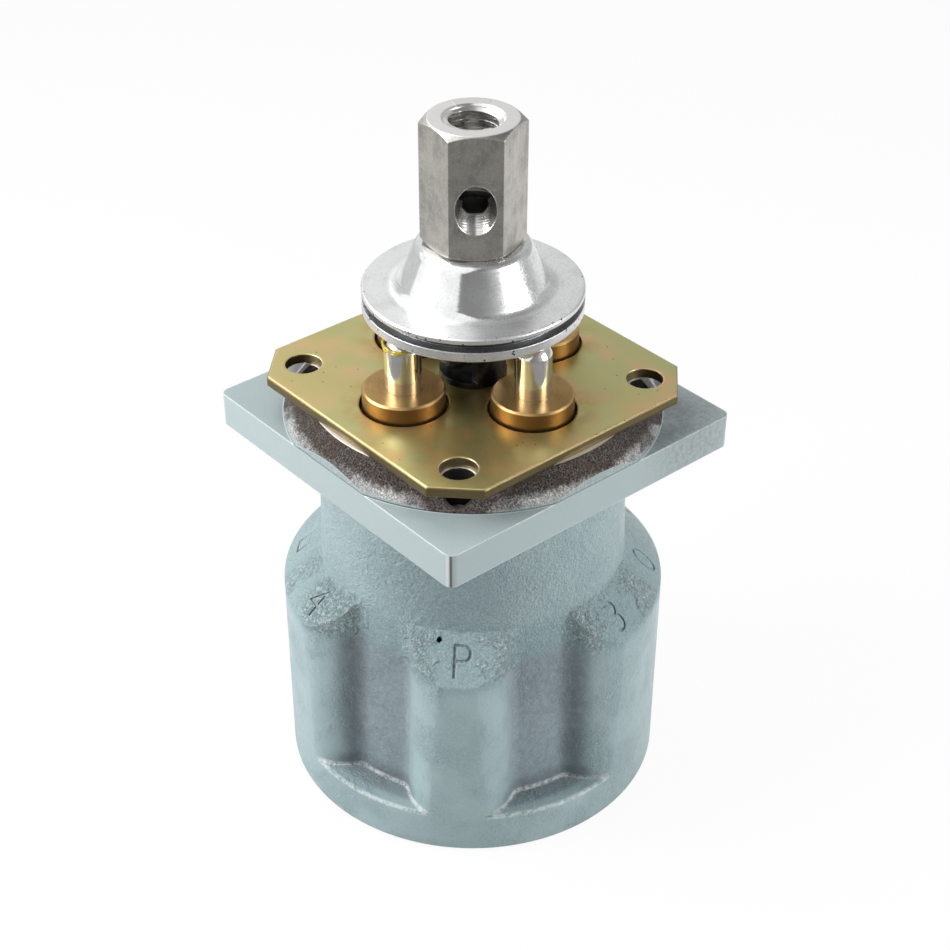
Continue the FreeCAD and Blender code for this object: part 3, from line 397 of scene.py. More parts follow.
def blended(tree, share, first, second):
    """Two colours blended, the second by its share."""
    feeds = {0: share, 6: first, 7: second}
    return add_node(tree, "ShaderNodeMix", feeds, data_type="RGBA").outputs[2]


def layered(tree, colour, *layers):
    """A colour with others laid over it in turn, each given as its mask, its share and itself."""
    for mask, share, laid_over in layers:
        colour = blended(tree, times(tree, mask, share), colour, laid_over)
    return colour


def finish_surface(tree, shader, colour, roughness, metallic, height, normal, depth):
    """Feeds the shader. Depth is the height of the relief in millimetres."""
    feeds = {"Height": height, "Distance": depth * mm, "Normal": normal}
    bump = add_node(tree, "ShaderNodeBump", feeds).outputs[0]
    feeds = {"Base Color": colour, "Roughness": roughness, "Metallic": metallic, "Normal": bump}
    feed(tree, shader, feeds)


def dress(material, *names):
    """Gives the material to these pieces of the frame."""
    for name in names:
        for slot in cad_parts[name].material_slots:
            slot.material = material


def near(tree, place, middle, outer, inner):
    """A soft round patch, 0 at the outer distance from its middle and 1 from the inner one."""
    feeds = {0: place, 1: middle}
    gap = add_node(tree, "ShaderNodeVectorMath", feeds, operation="DISTANCE").outputs["Value"]
    return eased(tree, gap, outer, inner)


def band(tree, value, start, full, still_full, end):
    """1 while the value is in a band, and 0 before its start and after its end."""
    return times(tree, eased(tree, value, start, full), eased(tree, value, end, still_full))


material, tree, shader, place = new_finish("casing_enamel")
around = placed(tree, round_axis, Place=place)
radius, height, angle = around["Radius"], around["Height"], around["Angle"]
parts = parts_of(tree, place)
out_x, out_y = (worked_out(tree, "ABSOLUTE", parts[axis]) for axis in ("X", "Y"))
clouds = noise(tree, place, 14.0, 2.0)
fine_clouds = noise(tree, place, 2.2, 3.0)
flake = noise(tree, place, 1.3, 3.0, 0.7)

# Where each kind of surface is.
on_flange = eased(tree, height, flange_low - 1.0, flange_low - 0.2)
on_plain_flange = times(tree, on_flange, eased(tree, height, flange_high + 0.3, flange_high))
on_neck = eased(tree, height, neck_low - 14, neck_low + 2)
by_ledge = band(tree, height, *ledge_band)
squared = worked_out(tree, "MAXIMUM", out_x, out_y)
inside_flange = worked_out(tree, "LESS_THAN", squared, flange_half - 0.08)
on_seat = times(tree, eased(tree, height, flange_high + 0.05, flange_high + 0.25), inside_flange)
seat_faced = eased(tree, height, seat_top - 0.12, seat_top - 0.04)
past_boss = worked_out(tree, "SUBTRACT", angle, first_boss)
past_boss = worked_out(tree, "WRAP", past_boss, half_sector, -half_sector)
off_boss = worked_out(tree, "ABSOLUTE", past_boss)
port_x = times(tree, radius, worked_out(tree, "COSINE", past_boss))
port_x = worked_out(tree, "SUBTRACT", port_x, port_circle)
port_y = times(tree, radius, worked_out(tree, "SINE", past_boss))
in_ports = worked_out(tree, "LESS_THAN", off_axis(tree, port_x, port_y), port_mouth)
below_ports = worked_out(tree, "LESS_THAN", height, port_roof)
screw_x, screw_y = (worked_out(tree, "SUBTRACT", out, screw_offset) for out in (out_x, out_y))
off_screw = off_axis(tree, screw_x, screw_y)
in_screw_hole = eased(tree, off_screw, screw_hole_radius + 0.12, screw_hole_radius + 0.05)

# The skin, coarser on the neck and smooth on the flange. The sides of the six marked pads are
# lumpy, where the sand of the mould crumbled.
coarse = eased(tree, clouds, 0.4, 0.7, 0.1, 0.6)
coarse = worked_out(tree, "MAXIMUM", times(tree, on_neck, 0.9), coarse)
coarse = times(tree, coarse, worked_out(tree, "SUBTRACT", 1.0, on_plain_flange))
crumbs = noise(tree, place, 4.5, 3.0, 0.6)
beside_pad = worked_out(tree, "MULTIPLY_ADD", angle, 3.0, -3 * first_boss)
beside_pad = worked_out(tree, "ABSOLUTE", worked_out(tree, "COSINE", beside_pad))
wandering = worked_out(tree, "MULTIPLY_ADD", crumbs, 0.7, -0.35)
pad_side = band(tree, worked_out(tree, "ADD", beside_pad, wandering), *pad_side_band)
crumbled = worked_out(tree, "MAXIMUM", pad_side, near(tree, place, crumbled_pad, 9, 6))
uneven = worked_out(tree, "MULTIPLY_ADD", crumbs, 9.0, worked_out(tree, "SUBTRACT", height, 4.5))
in_front = eased(tree, far_along(tree, place, towards_camera), 0.0, 14.0, 0.25, 1.0)
lumpy = times(tree, crumbled, band(tree, uneven, *crumbled_band), in_front)
coarse = worked_out(tree, "MULTIPLY_ADD", lumpy, 1.2, coarse)
grain = placed(tree, cast_grain, Place=place, Coarse=coarse)
rounding = eased(tree, on_flange, 0, 1, body_round * mm, flange_round * mm)
rounding = eased(tree, by_ledge, 0, 1, rounding, ledge_round * mm)
edges = placed(tree, soft_edges, Radius=rounding, Sharpness=0.10)

# Paint, thin in patches, with painted shade where the flange would shadow the neck's front, over
# the shoulder, in the pockets and on their ledges, and beside the bosses off the front. Painted sheen
# greys the flange. The grain's pits are darker and its crests paler, partly thin and worn paint and
# partly painted shade and highlight, and the pads' lumps get painted glints.
neck_front_shade = times(tree, near(tree, place, neck_shade_middle, 27, 8), on_neck)
# Patches that make the painted shade in the pockets uneven.
pocket_shade_patches = eased(tree, noise(tree, place, 1.6, 4.0, 0.7), 0.32, 0.68, 0.70, 1.15)
deep = eased(tree, radius, pocket_mouth, pocket_back)
in_pocket = times(tree, deep, eased(tree, height, neck_low, neck_low - 8), pocket_shade_patches)
on_ledge = times(tree, by_ledge, eased(tree, radius, ledge_outside, ledge_inside))
from_front = worked_out(tree, "SUBTRACT", angle, front_corner)
from_front = worked_out(tree, "ABSOLUTE", worked_out(tree, "WRAP", from_front, math.pi, -math.pi))
# Painted shade beside the bosses off the front, patchy.
rib_shadow = times(
    tree,
    band(tree, off_boss, *beside_boss_band),
    eased(tree, from_front, math.radians(28), math.radians(34)),
    eased(tree, radius, rib_shadow_outside, rib_shadow_inside),
    band(tree, height, *rib_shadow_band),
    eased(tree, fine_clouds, 0.2, 0.6, 0.5, 1.0),
)
pitted = worked_out(tree, "MULTIPLY_ADD", coarse, 0.22, 0.06)
crested = worked_out(tree, "MULTIPLY_ADD", coarse, 0.25, 0.05)
# Painted glints: highlights on the lumps beside the pads and over the 4 pad.
glints = times(tree, lumpy, eased(tree, noise(tree, place, 0.9, 3.0, 0.7), 0.52, 0.60))
paint = blended(tree, eased(tree, clouds, 0.35, 0.7, 0.0, 0.7), enamel, enamel_thin)
paint = layered(
    tree,
    paint,
    # Painted sheen greys the flange.
    (on_flange, 1.0, enamel_greyed_for_sheen),
    # Painted shade on the neck's front, where the flange would shadow it.
    (neck_front_shade, 0.6, enamel_in_flange_shadow),
    # Painted shade in the pockets.
    (in_pocket, 1.0, enamel_shaded_in_pockets),
    # Painted shade in a band over the shoulder, under the neck.
    (band(tree, height, *shoulder_band), 0.6, enamel_shaded_on_shoulder),
    # Painted shade on the ledges at the pockets' foot.
    (on_ledge, 0.55, enamel_shaded_in_pockets),
    # Painted shade beside the bosses.
    (rib_shadow, 0.5, rib_shadow_colour),
    # The grain's pits darker and its crests paler: thin and worn paint, and painted shade and highlight.
    (eased(tree, grain["Grains"], 0.5, 0.0), pitted, enamel_thin_and_shaded_in_pits),
    (eased(tree, grain["Grains"], 0.6, 1.0), crested, enamel_worn_and_lit_on_crests),
    # Painted highlights on the pads' lumps.
    (glints, 0.5, enamel_worn_and_highlit),
)

# Wear and painted light: pale edges, partly rubbed paint and partly a painted highlight, a sooty
# smudge, and painted shade in two places on the flange by the plate's edge. A dark line runs down
# the flange's front corner, with paler paint beside it on one face.
edge_wear_and_highlight = worked_out(tree, "MAXIMUM", by_ledge, times(tree, on_flange, 0.9))
edge_wear_and_highlight = eased(tree, edge_wear_and_highlight, 0, 1, 0.25, 1.0)
edge_patches = eased(tree, worked_out(tree, "MULTIPLY_ADD", on_flange, 0.14, flake), 0.34, 0.56)
smudge = times(tree, near(tree, place, smudge_place, 24, 5), eased(tree, flake, 0.15, 0.85))
# A dark line down the flange's front corner, with paler paint beside it on one face.
across_corner = worked_out(tree, "ADD", parts["X"], parts["Y"])
past_corner = worked_out(tree, "GREATER_THAN", parts["X"], corner_reach)
below_edge = eased(tree, height, flange_high - 0.1, flange_high - 0.4)
on_corner = times(tree, on_flange, below_edge, past_corner)
beside_corner_line = times(tree, on_corner, band(tree, across_corner, *beside_corner_line_band))
corner_line = eased(tree, worked_out(tree, "ABSOLUTE", across_corner), 0.55, 0.25)
paint = layered(
    tree,
    paint,
    # Pale edges: partly rubbed paint, partly painted highlight.
    (times(tree, edges["Edge"], edge_patches), edge_wear_and_highlight, enamel_worn_and_highlit),
    (times(tree, smudge, on_flange), 0.6, soot_and_shade),
    # Painted shade on the flange under the plate's edge.
    *((times(tree, near(tree, place, shade_spot, 9.0, 4.0), on_flange), 0.9, soot_and_shade) for shade_spot in shade_by_plate_edge),
    (beside_corner_line, 0.6, enamel_worn_and_highlit),
    (times(tree, on_corner, corner_line), 0.9, soot_and_shade),
)

# The bare seat: raw and brown under the plate, ground bright farther out, with a ragged paint edge.
ragged = worked_out(tree, "MULTIPLY_ADD", noise(tree, place, 16.0, 1.0), 2.4, radius)
ragged = worked_out(tree, "MULTIPLY_ADD", flake, 2.4, ragged)
# Near the screws the dark raw iron reaches farther out: painted shade under the plate's corners.
ragged = worked_out(tree, "SUBTRACT", ragged, eased(tree, off_screw, 10.0, 5.5, 0.0, 5.0))
bare = times(tree, on_seat, eased(tree, ragged, seat_paint_edge + 3.1, seat_paint_edge + 2.1))
missed = eased(tree, noise(tree, place, 10.0, 3.0, 0.6), 0.44, 0.58)
raw = eased(tree, ragged, seat_ground_edge + 3.6, seat_ground_edge + 2.0)
raw = worked_out(tree, "MAXIMUM", raw, times(tree, missed, 0.75))
sand = eased(tree, noise(tree, place, 0.42, 3.0, 0.75), 0.40, 0.64)
raw_skin = blended(tree, sand, raw_iron, raw_iron_grain)
raw_skin = blended(tree, eased(tree, fine_clouds, 0.4, 0.7, 0.0, 0.6), raw_skin, brown_iron)
iron = blended(tree, sand, ground_iron, ground_iron_grain)
iron = layered(
    tree,
    iron,
    (raw, 1.0, raw_skin),
    # Painted shade in the screw holes.
    (in_screw_hole, 1.0, screw_hole_shade),
    (seat_faced, 1.0, turned_iron),
)

bare = worked_out(tree, "MAXIMUM", bare, times(tree, in_screw_hole, on_flange))
machined = times(tree, in_ports, below_ports)
machined = worked_out(tree, "MAXIMUM", eased(tree, height, 0.06, 0.02), machined)
colour = layered(tree, paint, (bare, 1.0, iron), (machined, 1.0, turned_iron))
bare = worked_out(tree, "MAXIMUM", bare, machined)
roughness = eased(tree, bare, 0, 1, eased(tree, fine_clouds, 0.3, 0.7, 0.28, 0.40), 0.42)
metallic = eased(tree, bare, 0, 1, 0.0, 0.8)
smooth = worked_out(tree, "MAXIMUM", on_plain_flange, seat_faced)
skin = worked_out(tree, "MULTIPLY_ADD", sand, times(tree, bare, 0.12), grain["Height"])
skin = times(tree, skin, worked_out(tree, "SUBTRACT", 1.0, smooth))
finish_surface(tree, shader, colour, roughness, metallic, skin, edges["Normal"], skin_relief)
dress(material, "valve_casing")

# Port marks
# The ports' letter and numbers stand on the shoulder over each boss, sunk into the casting, and
# two plain founder's outlines stand between them. The casing is shown by a copy with them cut in.
port_bearings = {"P": -45, "3": 15, "1": 75, "T": 135, "2": 195, "4": 255}
mark_bearings = {"P": -43.8, "3": 12.5, "1": 75, "T": 135, "2": 195, "4": 257.5}
mark_radius = 45.0
mark_level = 60.8
mark_height = 8.4
mark_slimming = 0.9
mark_depth = 0.42
mark_thinning = -0.016
shoulder_lean = math.radians(46.5)
outline_bearings = {"oval": 45, "square": -135}
outline_sides = {"oval": 32, "square": 4}
outline_radius = 3.6
outline_shape = Matrix.Diagonal((0.62, 1.1, 1, 1))
groove_radius = 0.42
pit_radius = 0.7
pit_place = -5.9, 5.2
mark_shaded = (0.145, 0.195, 0.208, 1)
mark_pale = (0.255, 0.335, 0.350, 1)

sunk_paint, tree, shader, place = new_finish("sunk_paint")
grain = placed(tree, cast_grain, Place=place, Coarse=0.6)
colour = blended(tree, eased(tree, noise(tree, place, 0.8), 0.35, 0.65), mark_shaded, mark_pale)
edges = placed(tree, soft_edges, Radius=0.2 * mm)
finish_surface(tree, shader, colour, 0.5, 0.0, grain["Height"], edges["Normal"], 0.1)


def on_shoulder(bearing, aside=0.0, up=0.0):
    """Where a mark lies on the shoulder: X to the reader's right, Y up the slope, Z out of the iron."""
    angle = math.radians(bearing)
    outward = Vector((math.cos(angle), math.sin(angle), 0))
    reading = Vector((-math.sin(angle), math.cos(angle), 0))
    normal = outward * math.cos(shoulder_lean) + Vector((0, 0, math.sin(shoulder_lean)))
    uphill = normal.cross(reading)
    about = outward * mark_radius + Vector((0, 0, mark_level)) + reading * aside + uphill * up
    about *= mm
    hit, found, _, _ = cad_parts["valve_casing"].ray_cast(about + normal * 10 * mm, -normal)
    axes = Matrix((reading, uphill, normal)).transposed().to_4x4()
    return Matrix.Translation(found if hit else about) @ axes


def settled():
    """Puts the new object's place into its mesh, so that the object itself stands at the origin."""
    bpy.ops.object.transform_apply(location=True, rotation=True, scale=True)
    return bpy.context.object


def merge_points(distance):
    """Merges the points of the active mesh that lie nearer to each other than the distance."""
    bpy.ops.object.mode_set(mode="EDIT")
    bpy.ops.mesh.select_all(action="SELECT")
    bpy.ops.mesh.remove_doubles(threshold=distance)
    bpy.ops.object.mode_set(mode="OBJECT")


def cut_away(piece, tool, material_mode):
    """Cuts the shape of a tool out of a piece, and takes the tool away."""
    cut = piece.modifiers.new("cut", "BOOLEAN")
    cut.operation = "DIFFERENCE"
    cut.solver = "EXACT"
    cut.material_mode = material_mode
    cut.object = tool
    bpy.context.view_layer.objects.active = piece
    bpy.ops.object.modifier_apply(modifier=cut.name)
    bpy.data.objects.remove(tool)


cutters = []
for mark, bearing in mark_bearings.items():
    bpy.ops.object.text_add()
    letter = bpy.context.object
    letter.data.body = mark
    letter.data.align_x = "CENTER"
    letter.data.align_y = "CENTER"
    letter.data.offset = mark_thinning
    letter.data.extrude = 0.5
    letter.data.resolution_u = 4
    bpy.ops.object.convert(target="MESH")
    size = mark_height * mm / letter.dimensions.y
    lift = Matrix.Translation((0, 0, mark_depth * mm))
    sizes = Matrix.Diagonal((size * mark_slimming, size, 4 * mark_depth * mm, 1))
    middle = Matrix.Translation(-sum((Vector(corner) for corner in letter.bound_box), Vector()) / 8)
    letter.matrix_world = on_shoulder(bearing) @ lift @ sizes @ middle
    cutters.append(settled())
for outline, bearing in outline_bearings.items():
    bpy.ops.mesh.primitive_torus_add(
        major_radius=outline_radius * mm,
        minor_radius=groove_radius * mm,
        major_segments=outline_sides[outline],
        minor_segments=10,
    )
    ring = bpy.context.object
    upright = Matrix.Rotation(math.pi / 4 if outline == "square" else 0.0, 4, "Z")
    ring.matrix_world = on_shoulder(bearing) @ outline_shape @ upright
    cutters.append(settled())
bpy.ops.mesh.primitive_ico_sphere_add(subdivisions=2, radius=pit_radius * mm)
pit = bpy.context.object
for point in pit.data.vertices:
    point.co *= 0.75 + 0.5 * abs(math.sin(point.co.x / mm * 5 + point.co.y / mm * 3))
pit.matrix_world = on_shoulder(mark_bearings["P"], *pit_place)
cutters.append(settled())
for cutter in cutters:
    cutter.data.materials.clear()
    cutter.data.materials.append(sunk_paint)
    cutter.select_set(True)
bpy.context.view_layer.objects.active = cutters[0]
bpy.ops.object.join()
all_marks = bpy.context.object
merge_points(0.0005 * mm)

casing_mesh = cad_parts["valve_casing"].data.copy()
marked_casing = bpy.data.objects.new("marked_casing", casing_mesh)
bpy.context.scene.collection.objects.link(marked_casing)
bpy.ops.object.select_all(action="DESELECT")
marked_casing.select_set(True)
bpy.context.view_layer.objects.active = marked_casing
bpy.ops.mesh.customdata_custom_splitnormals_clear()
merge_points(0.002 * mm)
cut_away(marked_casing, all_marks, "TRANSFER")
bpy.ops.object.shade_smooth_by_angle(angle=math.radians(32))
even = marked_casing.modifiers.new("even_shading", "WEIGHTED_NORMAL")
even.keep_sharp = True
even.weight = 50
bpy.ops.object.modifier_apply(modifier=even.name)
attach(marked_casing, "casing")
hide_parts("valve_casing")

# Screw threads
# The casing is tapped for six hose fittings underneath and four screws under the plate. A thread
# is one ridge wound up the wall of its hole, cut with the hole. The port threads stay bare and
# bright; the screw threads get a dark copy of that finish, as painted shade in their holes.
port_thread = {"wall": 8.36, "crest": 7.48, "pitch": 1.337, "foot": 0.9, "turns": 10}
screw_thread = {"wall": 4.03, "crest": 3.38, "pitch": 1.25, "foot": 96.4, "turns": 6}
flank_share = 0.86
crest_share = 0.26
steps_in_a_turn = 40
cut_bright, cut_shaded = (0.70, 0.69, 0.67, 1), (0.52, 0.51, 0.49, 1)
# The second pair is painted shade for the screw threads under the plate.
screw_thread_shade, screw_thread_deep_shade = (0.080, 0.070, 0.062, 1), (0.045, 0.038, 0.034, 1)


def thread_ridge(name, wall, crest, pitch, foot, turns):
    """A closed ridge of thread that winds up the inside of a round hole on the Z axis."""
    bpy.ops.object.select_all(action="DESELECT")
    bpy.ops.mesh.primitive_plane_add(size=pitch * mm, location=((wall + crest) / 2 * mm, 0, foot * mm))
    ridge = bpy.context.object
    ridge.name = name
    bpy.ops.object.mode_set(mode="EDIT")
    bpy.ops.mesh.select_all(action="SELECT")
    bpy.ops.transform.rotate(value=math.pi / 2, orient_axis="X", center_override=ridge.location)
    bpy.ops.mesh.delete(type="ONLY_FACE")
    bpy.ops.object.mode_set(mode="OBJECT")
    settled()
    for corner in ridge.data.vertices:
        outer = corner.co.x > (wall + crest) / 2 * mm
        share = flank_share if outer else crest_share
        above = 1 if corner.co.z > foot * mm else -1
        corner.co = Vector(((wall if outer else crest) * mm, 0, (foot + above * share * pitch / 2) * mm))
    wind = ridge.modifiers.new("wind", "SCREW")
    wind.axis = "Z"
    wind.angle = math.tau
    wind.screw_offset = pitch * mm
    wind.iterations = turns
    wind.steps = steps_in_a_turn
    wind.render_steps = steps_in_a_turn
    bpy.ops.object.modifier_apply(modifier=wind.name)
    bpy.ops.object.mode_set(mode="EDIT")
    bpy.ops.mesh.select_all(action="SELECT")
    bpy.ops.mesh.fill_holes(sides=4)
    bpy.ops.mesh.select_all(action="SELECT")
    bpy.ops.mesh.normals_make_consistent(inside=False)
    bpy.ops.object.mode_set(mode="OBJECT")
    bpy.ops.object.shade_smooth_by_angle(angle=math.radians(30))
    return ridge


def moved_copy(original, name, shift):
    """A copy with its own mesh, moved to its place."""
    copy = bpy.data.objects.new(name, original.data.copy())
    bpy.context.scene.collection.objects.link(copy)
    copy.data.transform(Matrix.Translation(shift))
    return copy


def clouded_finish(name, colours, clouds, cover, grain, edge, roughness, metallic, depth):
    """Two colours in soft clouds, which also set the roughness, with a fine grain and soft edges."""
    material, tree, shader, place = new_finish(name)
    cloud = noise(tree, place, *clouds)
    colour = blended(tree, eased(tree, cloud, *cover), *colours)
    edges = placed(tree, soft_edges, Radius=edge * mm)
    roughness = eased(tree, cloud, 0.3, 0.7, *roughness)
    relief = noise(tree, place, *grain)
    finish_surface(tree, shader, colour, roughness, metallic, relief, edges["Normal"], depth)
    return material


cut_film = {"clouds": (2.5, 2.0), "cover": (0.35, 0.7), "grain": (2.5, 2.0), "edge": 0.08}
cut_shine = {"roughness": (0.18, 0.28), "metallic": 0.95, "depth": 0.01}
cut_thread = clouded_finish("cut_thread", (cut_bright, cut_shaded), **cut_film, **cut_shine)
shaded_screw_thread = clouded_finish("shaded_screw_thread", (screw_thread_shade, screw_thread_deep_shade), **cut_film, **cut_shine)

first_port = thread_ridge("port_thread", **port_thread)
first_screw = thread_ridge("screw_thread", **screw_thread)
port_threads, screw_threads = [], []
for mark, bearing in port_bearings.items():
    angle = math.radians(bearing)
    middle = Vector((math.cos(angle), math.sin(angle), 0)) * port_circle * mm
    port_threads.append(moved_copy(first_port, "thread_of_port_" + mark.lower(), middle))
for number, (side_x, side_y) in enumerate(((1, -1), (1, 1), (-1, 1), (-1, -1)), 1):
    middle = Vector((side_x, side_y, 0)) * screw_offset * mm
    screw_threads.append(moved_copy(first_screw, f"thread_for_screw_{number}", middle))
for ridges, finish in ((port_threads, cut_thread), (screw_threads, shaded_screw_thread)):
    for ridge in ridges:
        ridge.data.materials.append(finish)
        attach(ridge, "casing")
bpy.data.objects.remove(first_port)
bpy.data.objects.remove(first_screw)

# Retaining plate
# A square steel plate with clipped corners that holds the four guide bushes down. It is zinc
# plated and passivated yellow, which leaves it olive gold with faint green and pink clouds.
olive_gold = (0.500, 0.425, 0.180, 1)
green_gold = (0.440, 0.435, 0.195, 1)
pink_gold = (0.580, 0.395, 0.205, 1)
pale_gold = (0.800, 0.720, 0.460, 1)
brown_gold = (0.190, 0.145, 0.066, 1)
worn_gold = (0.420, 0.300, 0.100, 1)
nick_brown = (0.16, 0.11, 0.05, 1)
worn_corner = (26, -30, 116)
plate_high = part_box("retaining_plate")[1].z / mm
station_circle = 22.0
halo_outside, halo_inside = 17.5, 11.5

# Distance from the nearest of the four stations on the X and Y axes.
stations, given, results = new_group(
    "four_stations",
    {"Place": (0, 0, 0)},
    {"Radius": "Float", "Height": "Float"},
)
parts = parts_of(stations, given["Place"])
out_x, out_y = (worked_out(stations, "ABSOLUTE", parts[axis]) for axis in ("X", "Y"))
farther = worked_out(stations, "MAXIMUM", out_x, out_y)
nearer = worked_out(stations, "MINIMUM", out_x, out_y)
inward = worked_out(stations, "SUBTRACT", farther, station_circle)
feed(stations, results, {"Radius": off_axis(stations, inward, nearer), "Height": parts["Z"]})

material, tree, shader, place = new_finish("yellow_zinc")
height = parts_of(tree, place)["Z"]
big_clouds = noise(tree, place, 26.0, 2.0)
small_clouds = noise(tree, place, 9.0, 3.0)
off_station = placed(tree, stations, Place=place)["Radius"]
patina = times(tree, near(tree, place, worn_corner, 34, 6), eased(tree, small_clouds, 0.3, 0.6))
patchy = eased(tree, noise(tree, place, 5.0, 3.0, 0.6), 0.35, 0.65)
halo = times(tree, eased(tree, off_station, halo_outside, halo_inside), patchy)
patina = worked_out(tree, "MAXIMUM", patina, halo)
side = eased(tree, height, plate_high - 0.02, plate_high - 0.15)
edges = placed(tree, soft_edges, Radius=0.7 * mm, Sharpness=0.2)
nicks = placed(tree, specks, Place=place, Size=0.35, Share=0.02)["Mask"]
colour = blended(tree, eased(tree, big_clouds, 0.38, 0.62), olive_gold, green_gold)
colour = layered(
    tree,
    colour,
    (eased(tree, small_clouds, 0.45, 0.68), 0.85, pink_gold),
    (patina, 0.7, worn_gold),
    (side, 1.0, brown_gold),
    (edges["Edge"], eased(tree, side, 0, 1, 0.75, 0.12), pale_gold),
    (nicks, 1.0, nick_brown),
)
satin = noise(tree, place, 0.4, 2.0)
roughness = eased(tree, worked_out(tree, "ADD", satin, small_clouds), 0.7, 1.3, 0.30, 0.44)
finish_surface(tree, shader, colour, roughness, 0.85, satin, edges["Normal"], 0.012)
dress(material, "retaining_plate")

# Guide bushes
# Four flanged bushes, turned from bronze bar, stand in the plate's holes and guide the push rods.
# The plate holds them down in the casing by their flanges.
bronze = (0.480, 0.310, 0.125, 1)
dull_bronze = (0.350, 0.215, 0.085, 1)
# Painted shade: a darker bronze for the sides of the bushes' heads.
bronze_shaded_on_side = (0.230, 0.125, 0.045, 1)
bush_head_radius = 10.15
numbers = (1, 2, 3, 4)


def turned_finish(name, bright, dull, roughest, smoothest, spacing=0.3, rings=0.010, side=None):
    """Metal turned about its own station, with a faint film that dulls it in patches."""
    material, tree, shader, place = new_finish(name)
    station = placed(tree, stations, Place=place)
    radius, height = station["Radius"], station["Height"]
    lines = placed(tree, turned_lines, Radius=radius, Height=height, Spacing=spacing)["Lines"]
    film = noise(tree, place, 5.0, 3.0, 0.6)
    streaked = worked_out(tree, "MULTIPLY_ADD", lines, 0.6, times(tree, film, 0.6))
    colour = blended(tree, eased(tree, streaked, 0.45, 0.8), bright, dull)
    edges = placed(tree, soft_edges, Radius=0.2 * mm)
    if side:
        on_side = eased(tree, radius, side["radius"] - 0.15, side["radius"] - 0.02)
        colour = layered(tree, colour, (on_side, 0.95, side["colour"]))
    colour = layered(tree, colour, (edges["Edge"], 0.5, bright))
    roughness = eased(tree, streaked, 0.4, 0.8, smoothest, roughest)
    finish_surface(tree, shader, colour, roughness, 0.95, lines, edges["Normal"], rings)
    return material


def of_each(*kinds):
    """The names of the four pieces of each kind, one piece for each station."""
    return [f"{kind}_{number}" for kind in kinds for number in numbers]


# The heads' sides get painted shade, which keeps down their reflection of the lamps.
shaded_bush_side = {"radius": bush_head_radius, "colour": bronze_shaded_on_side}
bush_finish = turned_finish("turned_bronze", bronze, dull_bronze, 0.42, 0.30, rings=0.005, side=shaded_bush_side)
dress(bush_finish, *of_each("guide_bush"))

# Seals
# A moulded ring of nitrile rubber seals each bush in the casing, and a lip seal of the same
# rubber at the bush's foot wipes the rod.
rubber, bloomed_rubber = (0.012, 0.012, 0.013, 1), (0.035, 0.035, 0.034, 1)

material = clouded_finish(
    "nitrile_rubber",
    (rubber, bloomed_rubber),
    clouds=(3.0, 2.0),
    cover=(0.4, 0.75),
    grain=(0.7, 3.0),
    edge=0.1,
    roughness=(0.38, 0.55),
    metallic=0.0,
    depth=0.02,
)
dress(material, *of_each("bush_o_ring", "rod_seal"))

# Push rods
# Four hardened steel rods, ground and polished, carry the disc's tilt down to the spools. One
# dome still has a smear of the yellow grease that the rods were put together with.
polished = (0.800, 0.790, 0.770, 1)
faintly_stained = (0.560, 0.545, 0.520, 1)
fresh_grease, old_grease = (0.62, 0.50, 0.035, 1), (0.30, 0.22, 0.02, 1)
grease_rod = "push_rod_4"
grease_radius = 4.6
grease_reach = 0.62
grease_drop = 2.2
grease_crown = 0.75
grease_sag = 0.35
grease_wet = 0.4

rod_finish = turned_finish("polished_rod", polished, faintly_stained, 0.13, 0.06, spacing=0.12, rings=0.0015)
dress(rod_finish, *of_each("push_rod"))

rod_low, rod_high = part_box(grease_rod)
rod_axis = Vector(((rod_low.x + rod_high.x) / 2, (rod_low.y + rod_high.y) / 2, 0))
grease_level = rod_high.z - grease_drop * mm
bpy.ops.object.select_all(action="DESELECT")
bpy.ops.mesh.primitive_torus_add(
    location=rod_axis + Vector((0, 0, grease_level)),
    major_radius=grease_radius * mm,
    minor_radius=grease_reach * mm,
    major_segments=64,
    minor_segments=16,
)
grease = bpy.context.object
grease.name = "grease_smear"
settled()
smear_side = -camera_right
for point in grease.data.vertices:
    out = point.co - rod_axis
    flat = Vector((out.x, out.y, 0))
    bearing = math.atan2(out.y, out.x)
    facing = flat.normalized().dot(smear_side)
    lumpy = 0.72 + 0.2 * math.sin(bearing * 7 + 0.8) + 0.12 * math.sin(bearing * 17)
    thick = lumpy * max(0.0, min(1.0, (facing + 0.35) / 0.7))
    core = flat.normalized() * grease_radius * mm
    outwards = (flat - core) * (0.15 + 0.85 * thick)
    lift = min((point.co.z - grease_level) * (0.2 + 1.2 * thick), grease_crown * mm)
    sag = grease_sag * mm * thick * (0.5 + 0.5 * math.sin(bearing * 5))
    point.co = rod_axis + core + outwards + Vector((0, 0, grease_level + lift - sag))
smooth = grease.modifiers.new("smooth", "SUBSURF")
smooth.levels = 1
smooth.render_levels = 1
bpy.ops.object.modifier_apply(modifier=smooth.name)
bpy.ops.object.shade_smooth()
material = clouded_finish(
    "yellow_grease",
    (fresh_grease, old_grease),
    clouds=(0.8, 3.0),
    cover=(0.35, 0.65),
    grain=(0.8, 3.0),
    edge=0.1,
    roughness=(0.16, 0.16),
    metallic=0.0,
    depth=0.06,
)
feed(material.node_tree, material.node_tree.nodes["Principled BSDF"], {"Coat Weight": grease_wet})
grease.data.materials.append(material)
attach(grease, "plunger_4")

# Universal joint
# A forked base screwed into the casing, a cross block and the lever's fork, on two pairs of
# ground pins. The forks and the block are blacked in hot oxide and oiled.
black_oxide = (0.016, 0.016, 0.018, 1)
worn_oxide = (0.070, 0.068, 0.066, 1)
rubbed_oxide = (0.16, 0.155, 0.15, 1)
ground_steel, rubbed_steel = (0.62, 0.61, 0.60, 1), (0.36, 0.35, 0.34, 1)

